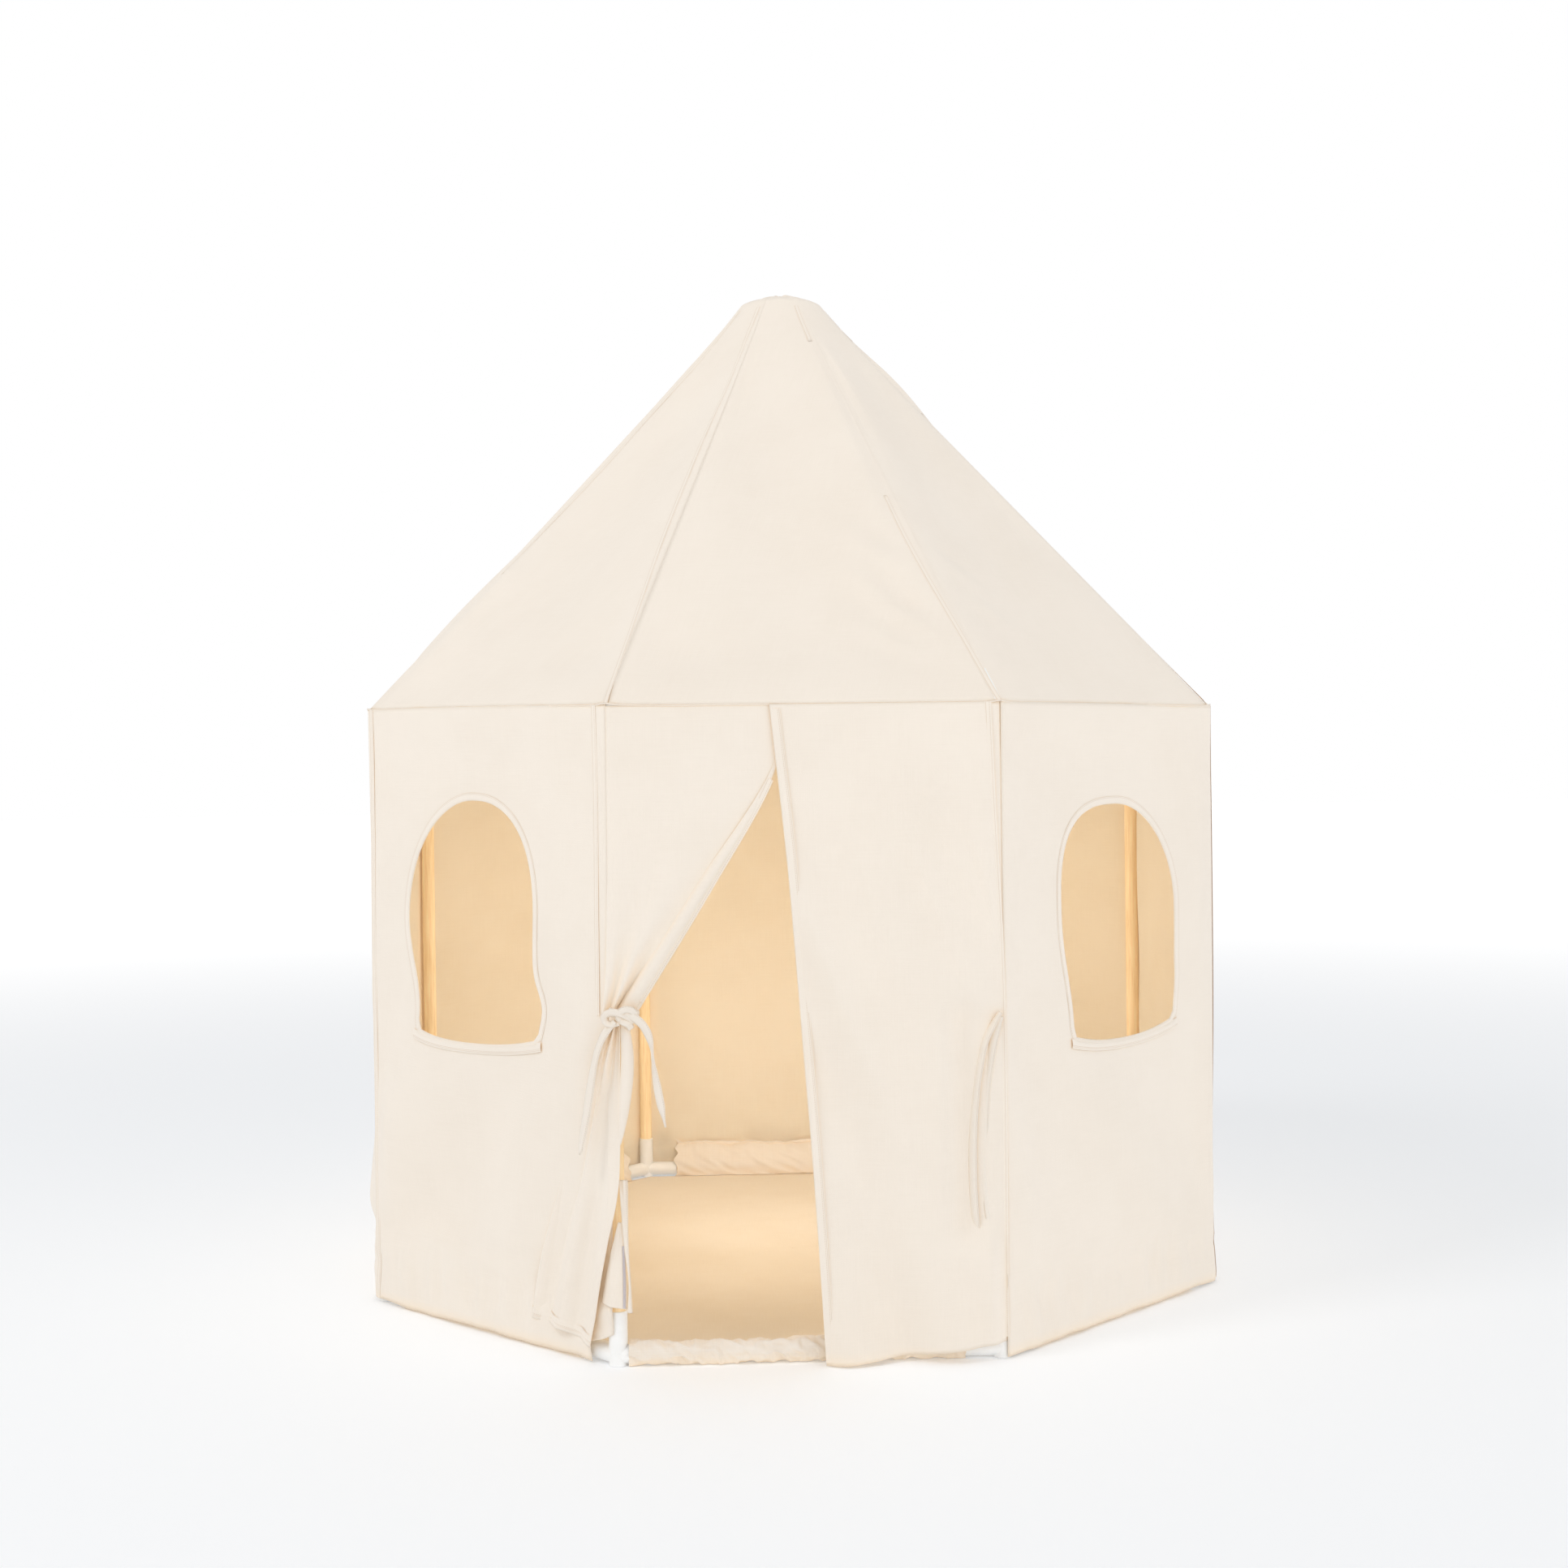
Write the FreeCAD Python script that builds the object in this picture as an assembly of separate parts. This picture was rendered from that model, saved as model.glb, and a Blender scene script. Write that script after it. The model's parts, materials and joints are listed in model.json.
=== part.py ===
import FreeCAD, Part
import math
import os

# Octagonal play tent: a push-fit dowel frame inside a sewn canvas cover. Millimetres, +Z up,
# origin on the ground at the tent's centre, door towards -Y. Corner 0 is at the door's left.

V = FreeCAD.Vector

# Frame
CORNERS = 8
STEP = 2 * math.pi / CORNERS
HALF = STEP / 2
RING_R = 690.0            # circle through the post axes
DOWEL_R = 11.0
BORE_R = 11.15
ARM_R = 13.0              # outside of every socket
ARM_LEN = 60.0            # from a corner's centre to a socket's mouth
BORE_START = 20.0         # from a corner's centre to a socket's blind end
DOWEL_GAP = 0.5           # between a dowel's end and the blind end
BASE_Z = 14.5             # base rail axis, so that a sleeve passes under the sockets
BASE_SOCKET_TOP = 75.0
EAVE_Z = 898.6            # eave rail axis
RAFTER_RISE = 1.0565      # rafter's rise over its run
MOUTH_CHAMFER = 0.7
OVERCUT = 1.0             # a cutting shape runs this far past the face it opens

# Crown
CROWN_R = 65.0            # domed disc
CROWN_RIM_LOW = 1562.0
CROWN_RIM_TOP = 1583.0
CROWN_TOP = 1598.5
CROWN_CORE_R = 55.0
CROWN_CORE_LOW = 1540.0
CROWN_SOCKET_IN = 62.0    # distances from the tent's axis
CROWN_BORE_IN = 66.0
CROWN_SOCKET_OUT = 140.0

# Canvas
CLOTH = 1.2
WALL_CLEAR = 13.5         # from a rail's axis to a wall's inner face
ROOF_CLEAR = 13.9         # from a rail's axis to the roof's inner face
PANEL_GAP = 0.1
WALL_LOW = 1.0
WALL_TOP = 902.3
GORE_OVERHANG = 0.8       # past a wall's outer face
GORE_TOP = 67.2           # distance from the tent's axis, across flats
CAP_CLEAR = 0.7
CAP_SKIRT_LOW = 1570.6
HEM_SLEEVE_R = (11.5, 12.7)
FRONT_SLEEVE_R = (13.25, 14.25)
FRONT_SLEEVE_GAP = 1.0    # from the left corner's upright socket
SLEEVE_END = 64.0         # a hem sleeve stops this far from the corner's centre
FLOOR_THICK = 1.5
FLOOR_REACH = 621.0       # across flats, from the centre

# Windows, one in each panel beside the door
WINDOW_W = 290.0
WINDOW_SILL = 416.0
WINDOW_SPRING = 628.0
WINDOW_SHIFT = 22.0       # away from the door
BINDING_W = 12.0
BINDING_THICK = 0.8
SILL_BAND_H = 15.0

# Door: two flaps sewn along the eave and along their outer edges
DOOR_EDGE = 267.0         # sewn outer edge, from the door's middle
LEFT_TOP_X = 20.0         # where the left flap's free edge leaves the eave
LEFT_ROLL = (-226.0, 545.0)
LEFT_NECK_X = (-262.0, -236.0)
KNOT_Z = 482.0
KNOT_SIZE = (44.0, 20.0, 16.0)
KNOT_ROUND = (6.0, 2.0)   # fillets on its upright edges and on its rims
KNOT_GAP = 1.0            # in front of the canvas
EDGE_PICK = 0.1           # how far an edge's middle may be from a face and still belong to it
NECK_GAP = 1.0
RIGHT_TOP = (-36.0, 899.0)
RIGHT_MID = (-3.0, 480.0)
RIGHT_FOOT = (14.0, 6.0)
RIGHT_SEAM_FOOT = (266.0, 24.0)
CREASE_GAP = 0.6
CREASE_SHORT = 2.0        # the free corner stops this far short of each end of the crease
RIGHT_FLAP_OUT = 1.8      # the right flap lies over the left one
TAIL_HEM_Z = 40.0
TAIL_REACH = 125.0        # along the wall beside the door
TAIL_IN = 5.0             # the tail's inner and outer faces, from the canvas behind it
TAIL_OUT = 22.0
TAIL_NECK_REACH = 8.0
TAIL_NECK_OUT = 16.0
TAIL_FRONT_X = (-242.0, -238.0)
EDGE_STRIP_X = (-264.0, -238.0)
EDGE_STRIP_Y = (-662.5, -657.5)
EDGE_STRIP_Z = (87.0, 300.0)
CLOSURE_W = 14.0
CLOSURE_Z = (92.0, 265.0)
CLOSURE_THICK = 1.0
CLOSURE_INSET = 2.0       # from the right flap's foot

# Tie tapes: each is a flat tape in an upright plane. A route is (along, height) from the plane's origin.
TAPE_W = 12.0
TAPE_THICK = 1.2
ARC_SHARE = 0.45          # part of the shorter run that each arc takes up
TIE_FRONT = -678.0        # the left tapes start in front of the knot
TIE_LEFT_START = -256.0
TIE_DRAPE_WAY = 168.0     # degrees, the long left tape's plane, which follows the drape
TIE_LEFT_LONG = [(5, 476), (15, 466), (24, 452), (31, 434), (36, 412), (41, 384), (46, 352), (52, 323),
                 (56.5, 295)]
TIE_LEFT_SHORT = [(8, 488), (21, 481.5), (32.5, 471.5), (40, 458), (44, 441), (46, 419), (50, 391),
                  (55.5, 361), (61.5, 332)]
TIE_RIGHT_START = 266.0
TIE_RIGHT_OUT = (-660.8, -657.6)
TIE_RIGHT_LONG = [(-2, 478), (-12, 462), (-24, 440), (-32, 404), (-38, 364), (-42, 318),
                  (-43, 268), (-42, 216), (-38, 170)]
TIE_RIGHT_SHORT = [(-1, 472), (-8, 453), (-15, 426), (-21, 390), (-25, 348), (-27, 300),
                   (-26, 252), (-22, 208), (-17, 172)]

CORNER_NAMES = ["front_left", "front_right", "right_front", "right_back",
                "back_right", "back_left", "left_back", "left_front"]
SIDE_NAMES = ["front", "front_right", "right", "back_right", "back", "back_left", "left", "front_left"]

RAIL_REACH = RING_R * math.cos(HALF)                  # from the centre to a rail's axis
SIDE_LEN = 2 * RING_R * math.sin(HALF)                # between post axes
WALL_IN = RAIL_REACH + WALL_CLEAR
WALL_OUT = WALL_IN + CLOTH
RAFTER_ANGLE = math.atan(RAFTER_RISE)
GORE_ANGLE = math.atan(RAFTER_RISE / math.cos(HALF))


def save(name, shape):
    """Writes one node's STEP file and checks that it holds closed solids."""
    assert shape.Solids and shape.isValid(), name
    shape.exportStep(os.path.join("parts", name + ".step"))


def corner_angle(i):
    return -math.pi / 2 - HALF + i * STEP


def polar(radius, angle, z):
    return V(radius * math.cos(angle), radius * math.sin(angle), z)


def corner_point(i, z, radius=RING_R):
    return polar(radius, corner_angle(i), z)


def towards(a, b):
    return (b - a).normalize()


def rod(a, b, radius):
    return Part.makeCylinder(radius, (b - a).Length, a, b - a)


def side_place(i):
    """Placement with +X along side i towards the next corner, +Y up, and +Z outwards."""
    out = corner_angle(i) + HALF
    along = V(-math.sin(out), math.cos(out), 0)
    normal = V(math.cos(out), math.sin(out), 0)
    matrix = FreeCAD.Matrix(along.x, 0, normal.x, 0,
                            along.y, 0, normal.y, 0,
                            0, 1, 0, 0,
                            0, 0, 0, 1)
    return FreeCAD.Placement(matrix)


def plate(outline, thickness, offset, side):
    """A flat sheet on a side: an outline of (along, height) points, its inner face offset from the centre."""
    wire = Part.makePolygon([V(x, y, offset) for x, y in outline + outline[:1]])
    return place_on_side(Part.Face(wire).extrude(V(0, 0, thickness)), side)


def place_on_side(shape, side):
    shape.Placement = side_place(side)
    return shape


# Dowel frame

def socket(centre, direction, start, end):
    """Outside of one socket that points away from the corner's centre, chamfered at its mouth."""
    mouth = centre + direction * end
    outer = rod(centre + direction * start, mouth, ARM_R)
    lip = [edge for edge in outer.Edges if (edge.CenterOfMass - mouth).Length < MOUTH_CHAMFER]
    return outer.makeChamfer(MOUTH_CHAMFER, lip)


def bore(centre, direction, start, end):
    return rod(centre + direction * start, centre + direction * (end + OVERCUT), BORE_R)


def rail_directions(z):
    """Unit vectors from corner 0 along the two rails that meet there."""
    here = corner_point(0, z)
    return [towards(here, corner_point(1, z)), towards(here, corner_point(-1, z))]


def at_corner(shape, i):
    """A copy of corner 0's shape, turned round to corner i."""
    turned = shape.copy()
    turned.rotate(V(0, 0, 0), V(0, 0, 1), math.degrees(i * STEP))
    return turned


def base_corner():
    centre = corner_point(0, BASE_Z)
    up = V(0, 0, 1)
    rail_ways = rail_directions(BASE_Z)
    body = socket(centre, up, -BASE_Z, BASE_SOCKET_TOP - BASE_Z)
    pieces = [socket(centre, way, 0, ARM_LEN) for way in rail_ways]
    bores = [bore(centre, way, BORE_START, ARM_LEN) for way in rail_ways]
    bores.append(bore(centre, up, BORE_START, BASE_SOCKET_TOP - BASE_Z))
    return body.multiFuse(pieces).cut(Part.makeCompound(bores)).removeSplitter()


def rafter_direction(i):
    inward = polar(-1, corner_angle(i), 0)
    return (inward * math.cos(RAFTER_ANGLE) + V(0, 0, math.sin(RAFTER_ANGLE))).normalize()


def eave_corner():
    centre = corner_point(0, EAVE_Z)
    down = V(0, 0, -1)
    rail_ways = rail_directions(EAVE_Z)
    arms = rail_ways + [rafter_direction(0)]
    body = socket(centre, down, 0, ARM_LEN)
    pieces = [socket(centre, way, 0, ARM_LEN) for way in arms]
    pieces.append(Part.makeSphere(ARM_R, centre))
    bores = [bore(centre, way, BORE_START, ARM_LEN) for way in arms + [down]]
    return body.multiFuse(pieces).cut(Part.makeCompound(bores)).removeSplitter()


def dowel(a, b):
    """A round wooden dowel between two corner centres, seated in both sockets."""
    seat = towards(a, b) * (BORE_START + DOWEL_GAP)
    return rod(a + seat, b - seat, DOWEL_R)


def post(i):
    return dowel(corner_point(i, BASE_Z), corner_point(i, EAVE_Z))


def rails(z):
    return Part.makeCompound([dowel(corner_point(i, z), corner_point(i + 1, z)) for i in range(CORNERS)])


def rafter_point(i, radius):
    return corner_point(i, EAVE_Z + (RING_R - radius) * RAFTER_RISE, radius)


def rafter(i):
    foot = corner_point(i, EAVE_Z) + rafter_direction(i) * (BORE_START + DOWEL_GAP)
    return rod(foot, rafter_point(i, CROWN_BORE_IN + DOWEL_GAP), DOWEL_R)


def dome(edge, low, grow):
    """Solid under the crown's dome: a disc from low up to the rim, capped by part of a sphere."""
    rise = CROWN_TOP - CROWN_RIM_TOP
    ball_r = (CROWN_R ** 2 + rise ** 2) / (2 * rise)
    ball = Part.makeSphere(ball_r + grow, V(0, 0, CROWN_TOP - ball_r))
    return Part.makeCylinder(edge, CROWN_TOP + grow - low + OVERCUT, V(0, 0, low)).common(ball)


def crown_hub():
    """Domed disc over a core, with one raking socket for each rafter."""
    disc = dome(CROWN_R, CROWN_RIM_LOW, 0)
    core_height = CROWN_RIM_LOW - CROWN_CORE_LOW + OVERCUT
    core = Part.makeCylinder(CROWN_CORE_R, core_height, V(0, 0, CROWN_CORE_LOW))
    tubes = []
    bores = []
    for i in range(CORNERS):
        mouth = rafter_point(i, CROWN_SOCKET_OUT)
        tubes.append(rod(rafter_point(i, CROWN_SOCKET_IN), mouth, ARM_R))
        bores.append(rod(rafter_point(i, CROWN_BORE_IN), mouth - rafter_direction(i) * OVERCUT, BORE_R))
    return disc.multiFuse([core] + tubes).cut(Part.makeCompound(bores)).removeSplitter()


# Canvas

def gore(side):
    """One roof panel: a flat trapezium whose inner face clears the rails by ROOF_CLEAR."""
    across = math.tan(HALF)
    rise = math.tan(GORE_ANGLE)
    level = EAVE_Z + ROOF_CLEAR / math.cos(GORE_ANGLE)
    points = []
    for reach in (WALL_OUT + GORE_OVERHANG, GORE_TOP):
        half = reach * across - PANEL_GAP
        z = level + (RAIL_REACH - reach) * rise
        points.append([V(-half, z, reach), V(half, z, reach)])
    low, high = points
    face = Part.Face(Part.makePolygon([low[0], low[1], high[1], high[0], low[0]]))
    normal = V(0, math.cos(GORE_ANGLE), math.sin(GORE_ANGLE))
    return place_on_side(face.extrude(normal * CLOTH), side)


def crown_cap():
    """Round canvas cap over the crown's disc."""
    inner = dome(CROWN_R + CAP_CLEAR, CAP_SKIRT_LOW, CAP_CLEAR)
    outer = dome(CROWN_R + CAP_CLEAR + CLOTH, CAP_SKIRT_LOW, CAP_CLEAR + CLOTH)
    return outer.cut(inner)


def wall(side):
    half = WALL_IN * math.tan(HALF) - PANEL_GAP
    outline = [(-half, WALL_LOW), (half, WALL_LOW), (half, WALL_TOP), (-half, WALL_TOP)]
    return plate(outline, CLOTH, WALL_IN, side)


def arch(middle, grow, offset):
    """Face of a round-headed window opening, or of one that is larger by grow all round."""
    half = WINDOW_W / 2 + grow
    low = WINDOW_SILL - grow
    a, b = V(middle - half, low, offset), V(middle + half, low, offset)
    c, d = V(middle + half, WINDOW_SPRING, offset), V(middle - half, WINDOW_SPRING, offset)
    head = Part.Arc(c, V(middle, WINDOW_SPRING + half, offset), d).toShape()
    return Part.Face(Part.Wire([Part.makeLine(a, b), Part.makeLine(b, c), head, Part.makeLine(d, a)]))


def window_wall(side, middle):
    hole = arch(middle, 0, WALL_IN - OVERCUT).extrude(V(0, 0, CLOTH + 2 * OVERCUT))
    return wall(side).cut(place_on_side(hole, side))


def window_binding(side, middle):
    """Stitched facing round the opening, with a wider band along the sill."""
    offset = WALL_OUT + PANEL_GAP
    ring = arch(middle, BINDING_W, offset).extrude(V(0, 0, BINDING_THICK))
    half = WINDOW_W / 2 + BINDING_W
    band = Part.makeBox(2 * half, SILL_BAND_H, BINDING_THICK,
                        V(middle - half, WINDOW_SILL - SILL_BAND_H, offset))
    hole = arch(middle, 0, offset - OVERCUT).extrude(V(0, 0, BINDING_THICK + 2 * OVERCUT))
    return place_on_side(ring.fuse(band).cut(hole).removeSplitter(), side)


def sleeve(side, radii, start, end):
    """Canvas tube round a base rail, from start to end along the side."""
    inner, outer = radii
    a, b = V(start, BASE_Z, RAIL_REACH), V(end, BASE_Z, RAIL_REACH)
    return place_on_side(rod(a, b, outer).cut(rod(a, b, inner)), side)


def hem_sleeves():
    reach = SIDE_LEN / 2 - SLEEVE_END
    return Part.makeCompound([sleeve(i, HEM_SLEEVE_R, -reach, reach) for i in range(1, CORNERS)])


def front_sleeve():
    """Gathered sleeve over the door's base rail, pushed up against the left corner."""
    left = -SIDE_LEN / 2 + ARM_R + FRONT_SLEEVE_GAP
    right = SIDE_LEN / 2 - SLEEVE_END
    return sleeve(0, FRONT_SLEEVE_R, left, right)


def floor_sheet():
    radius = FLOOR_REACH / math.cos(HALF)
    points = [corner_point(i, 0, radius) for i in range(CORNERS + 1)]
    return Part.Face(Part.makePolygon(points)).extrude(V(0, 0, FLOOR_THICK))


# Door

def door_left_upper():
    """The left flap above its tie, from the eave down to the neck."""
    neck = KNOT_Z + KNOT_SIZE[2] / 2 + NECK_GAP
    outline = [(-DOOR_EDGE, WALL_TOP), (-DOOR_EDGE, neck), (LEFT_NECK_X[1], neck), LEFT_ROLL,
               (LEFT_TOP_X, WALL_TOP)]
    return plate(outline, CLOTH, WALL_IN, 0)


def left_wall_point(along, out, z):
    """A point beside the door's left corner: along the next wall, and out from its face."""
    face = corner_point(0, z, WALL_OUT / math.cos(HALF))
    direction = towards(corner_point(0, z), corner_point(-1, z))
    return face + direction * along + polar(out, corner_angle(0) - HALF, 0)


def tail_ring(z, reach, outside, front_x):
    """Level section of the left flap's tail: it bends round the corner at the door."""
    inner_corner = corner_point(0, z, (WALL_OUT + TAIL_IN) / math.cos(HALF))
    outer_corner = corner_point(0, z, (WALL_OUT + outside) / math.cos(HALF))
    points = [left_wall_point(reach, TAIL_IN, z), left_wall_point(reach, outside, z), outer_corner,
              V(front_x, -(WALL_OUT + outside), z), V(front_x, -(WALL_OUT + TAIL_IN), z), inner_corner]
    return Part.makePolygon(points + points[:1])


def door_left_tail():
    """The left flap below its tie: a fall of cloth round the corner, and its hemmed free edge."""
    high = KNOT_Z - KNOT_SIZE[2] / 2 - NECK_GAP
    foot = tail_ring(TAIL_HEM_Z, TAIL_REACH, TAIL_OUT, TAIL_FRONT_X[0])
    neck = tail_ring(high, TAIL_NECK_REACH, TAIL_NECK_OUT, TAIL_FRONT_X[1])
    fall = Part.makeLoft([foot, neck], True, True)
    width = EDGE_STRIP_X[1] - EDGE_STRIP_X[0]
    depth = EDGE_STRIP_Y[1] - EDGE_STRIP_Y[0]
    strip = Part.makeBox(width, depth, EDGE_STRIP_Z[1] - EDGE_STRIP_Z[0],
                         V(EDGE_STRIP_X[0], EDGE_STRIP_Y[0], EDGE_STRIP_Z[0]))
    return fall.fuse(strip).removeSplitter()


def closure_left():
    """Hook-and-loop tape along the left flap's free edge."""
    return Part.makeBox(CLOSURE_THICK, EDGE_STRIP_Y[1] - EDGE_STRIP_Y[0], CLOSURE_Z[1] - CLOSURE_Z[0],
                        V(EDGE_STRIP_X[1] + PANEL_GAP, EDGE_STRIP_Y[0], CLOSURE_Z[0]))


def crease_shift(gap):
    """A step across the right flap's crease, towards its free corner."""
    run = V(RIGHT_SEAM_FOOT[0] - RIGHT_TOP[0], RIGHT_SEAM_FOOT[1] - RIGHT_TOP[1], 0).normalize()
    return run.y * gap, -run.x * gap


def door_right_upper():
    """The right flap outside its crease, sewn along the eave and the corner."""
    outline = [RIGHT_TOP, RIGHT_SEAM_FOOT, (RIGHT_SEAM_FOOT[0], RIGHT_TOP[1])]
    return plate(outline, CLOTH, WALL_IN + RIGHT_FLAP_OUT, 0)


def door_right_corner():
    """The right flap's free corner, which folds outwards along the crease."""
    dx, dz = crease_shift(CREASE_GAP)
    top = (RIGHT_TOP[0] + dx, RIGHT_TOP[1] + dz - CREASE_SHORT)
    seam_foot = (RIGHT_SEAM_FOOT[0] + dx - CREASE_SHORT, RIGHT_SEAM_FOOT[1])
    return plate([top, RIGHT_MID, RIGHT_FOOT, seam_foot], CLOTH, WALL_IN + RIGHT_FLAP_OUT, 0)


def closure_right():
    """Hook-and-loop tape inside the right flap's free edge."""
    left = RIGHT_FOOT[0] + CLOSURE_INSET
    outline = [(left, CLOSURE_Z[0]), (left + CLOSURE_W, CLOSURE_Z[0]),
               (left + CLOSURE_W, CLOSURE_Z[1]), (left, CLOSURE_Z[1])]
    return plate(outline, CLOSURE_THICK, WALL_IN + RIGHT_FLAP_OUT - CLOSURE_THICK - PANEL_GAP, 0)


# Ties

def tie_knot():
    """Tape wound round the left flap's neck, with its knot in front."""
    width, depth, height = KNOT_SIZE
    upright_round, rim_round = KNOT_ROUND
    middle = V((LEFT_NECK_X[0] + LEFT_NECK_X[1]) / 2, -(WALL_OUT + depth / 2 + KNOT_GAP), KNOT_Z)
    block = Part.makeBox(width, depth, height, middle - V(width / 2, depth / 2, height / 2))
    uprights = [edge for edge in block.Edges if abs(edge.CenterOfMass.z - KNOT_Z) < EDGE_PICK]
    block = block.makeFillet(upright_round, uprights)
    rims = [edge for edge in block.Edges if abs(edge.CenterOfMass.z - KNOT_Z) > height / 2 - EDGE_PICK]
    return block.makeFillet(rim_round, rims)


def tape(origin, along, route, label):
    """A flat tape along straight runs joined by tangent arcs, in the upright plane of along."""
    points = [origin + along * h + V(0, 0, z) for h, z in route]
    start = points[0]
    edges = []
    radii = []
    for before, here, after in zip(points, points[1:], points[2:]):
        into, out = here - before, after - here
        turn = into.getAngle(out)
        cut = ARC_SHARE * min(into.Length, out.Length)
        radii.append(cut / math.tan(turn / 2))
        into.normalize()
        out.normalize()
        bulge = (out - into).normalize() * radii[-1] * (1 / math.cos(turn / 2) - 1)
        enter, leave = here - into * cut, here + out * cut
        edges.append(Part.makeLine(start, enter))
        edges.append(Part.Arc(enter, here + bulge, leave).toShape())
        start = leave
    edges.append(Part.makeLine(start, points[-1]))
    path = Part.Wire(edges)
    first = towards(points[0], points[1])
    normal = along.cross(V(0, 0, 1)).normalize()
    side = first.cross(normal).normalize() * (TAPE_W / 2)
    thick = normal * (TAPE_THICK / 2)
    corners = [points[0] + side + thick, points[0] - side + thick,
               points[0] - side - thick, points[0] + side - thick]
    profile = Part.makePolygon(corners + corners[:1])
    solid = path.makePipeShell([profile], True, False)
    print(label, "length", round(path.Length, 1), "volume ratio",
          round(solid.Volume / (path.Length * TAPE_W * TAPE_THICK), 4),
          "smallest radius", round(min(radii), 1))
    return solid


def ties():
    level = V(1, 0, 0)
    drape = polar(1, math.radians(TIE_DRAPE_WAY), 0)
    left = V(TIE_LEFT_START, TIE_FRONT, 0)
    right_outer, right_inner = [V(TIE_RIGHT_START, out, 0) for out in TIE_RIGHT_OUT]
    return {
        "tie_left_long": tape(left, drape, TIE_LEFT_LONG, "tie_left_long"),
        "tie_left_short": tape(left, level, TIE_LEFT_SHORT, "tie_left_short"),
        "tie_right_long": tape(right_outer, level, TIE_RIGHT_LONG, "tie_right_long"),
        "tie_right_short": tape(right_inner, level, TIE_RIGHT_SHORT, "tie_right_short"),
    }


def main():
    os.makedirs("parts", exist_ok=True)
    base_fitting = base_corner()
    eave_fitting = eave_corner()
    for i, name in enumerate(CORNER_NAMES):
        save("base_corner_" + name, at_corner(base_fitting, i))
        save("post_" + name, post(i))
        save("eave_corner_" + name, at_corner(eave_fitting, i))
        save("rafter_" + name, rafter(i))
    save("base_rails", rails(BASE_Z))
    save("eave_rails", rails(EAVE_Z))
    save("crown_hub", crown_hub())
    save("roof_cover", Part.makeCompound([gore(side) for side in range(CORNERS)]))
    save("crown_cap", crown_cap())
    for side in range(1, CORNERS):
        if SIDE_NAMES[side] == "front_right":
            shape = window_wall(side, WINDOW_SHIFT)
        elif SIDE_NAMES[side] == "front_left":
            shape = window_wall(side, -WINDOW_SHIFT)
        else:
            shape = wall(side)
        save("wall_" + SIDE_NAMES[side], shape)
    save("window_binding_right", window_binding(1, WINDOW_SHIFT))
    save("window_binding_left", window_binding(7, -WINDOW_SHIFT))
    save("hem_sleeves", hem_sleeves())
    save("front_base_sleeve", front_sleeve())
    save("floor_sheet", floor_sheet())
    save("door_left_upper", door_left_upper())
    save("door_left_tail", door_left_tail())
    save("closure_tape_left", closure_left())
    save("door_right_upper", door_right_upper())
    save("door_right_corner", door_right_corner())
    save("closure_tape_right", closure_right())
    save("tie_left_knot", tie_knot())
    for name, shape in ties().items():
        save(name, shape)


main()
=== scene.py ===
import json
import math
import bpy
from mathutils import Matrix, Vector, noise


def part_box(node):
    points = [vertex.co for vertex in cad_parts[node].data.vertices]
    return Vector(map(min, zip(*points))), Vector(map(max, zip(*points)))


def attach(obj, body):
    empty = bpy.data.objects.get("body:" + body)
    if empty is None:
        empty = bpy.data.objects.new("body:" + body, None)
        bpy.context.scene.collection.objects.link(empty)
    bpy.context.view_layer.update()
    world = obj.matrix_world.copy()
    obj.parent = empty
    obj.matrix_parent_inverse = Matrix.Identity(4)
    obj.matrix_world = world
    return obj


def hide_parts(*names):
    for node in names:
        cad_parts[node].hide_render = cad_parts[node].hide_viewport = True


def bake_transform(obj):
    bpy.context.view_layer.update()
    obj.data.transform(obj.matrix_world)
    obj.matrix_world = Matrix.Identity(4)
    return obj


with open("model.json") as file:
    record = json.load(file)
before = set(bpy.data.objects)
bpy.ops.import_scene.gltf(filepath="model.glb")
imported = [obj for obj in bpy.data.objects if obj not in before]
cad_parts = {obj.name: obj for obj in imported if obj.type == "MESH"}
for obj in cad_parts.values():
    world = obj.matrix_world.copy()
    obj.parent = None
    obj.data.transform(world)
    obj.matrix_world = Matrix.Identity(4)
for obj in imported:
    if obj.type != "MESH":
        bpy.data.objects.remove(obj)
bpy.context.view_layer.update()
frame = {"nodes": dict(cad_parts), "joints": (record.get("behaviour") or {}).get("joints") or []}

# The look of an octagonal canvas play tent, in metres, in the CAD's own frame: +Z up, door towards -Y.

TENT, TAIL, CORNER = "tent", "left_flap_tail", "right_flap_corner"

# Sizes read from the CAD
WALL_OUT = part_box("wall_back")[1][1]           # a wall's outer face, from the tent's axis
WALL_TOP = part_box("wall_back")[1][2]
ROOF_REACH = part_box("roof_cover")[1][1]
ROOF_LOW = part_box("roof_cover")[0][2]
CAP_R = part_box("crown_cap")[1][0]
CAP_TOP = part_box("crown_cap")[1][2]
SLEEVE_LOW, SLEEVE_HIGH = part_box("front_base_sleeve")
FLAP_OUT = -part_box("door_right_upper")[0][1]   # the right flap's outer face
POST_Y = -sum(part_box("post_front_left")[k][1] for k in (0, 1)) / 2
RAIL_Z = sum(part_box("base_rails")[k][2] for k in (0, 1)) / 2
FLOOR_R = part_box("floor_sheet")[1][0]

HALF = math.pi / 8
SIDE = 2 * WALL_OUT * math.tan(HALF)           # canvas width between two corners
CORNER_X = WALL_OUT * math.tan(HALF)
CLOTH = 0.0012


# Small helpers

def smooth(a, b, x):
    t = min(max((x - a) / (b - a), 0.0), 1.0)
    return t * t * (3 - 2 * t)


def mix(a, b, t):
    return a + (b - a) * t


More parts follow.
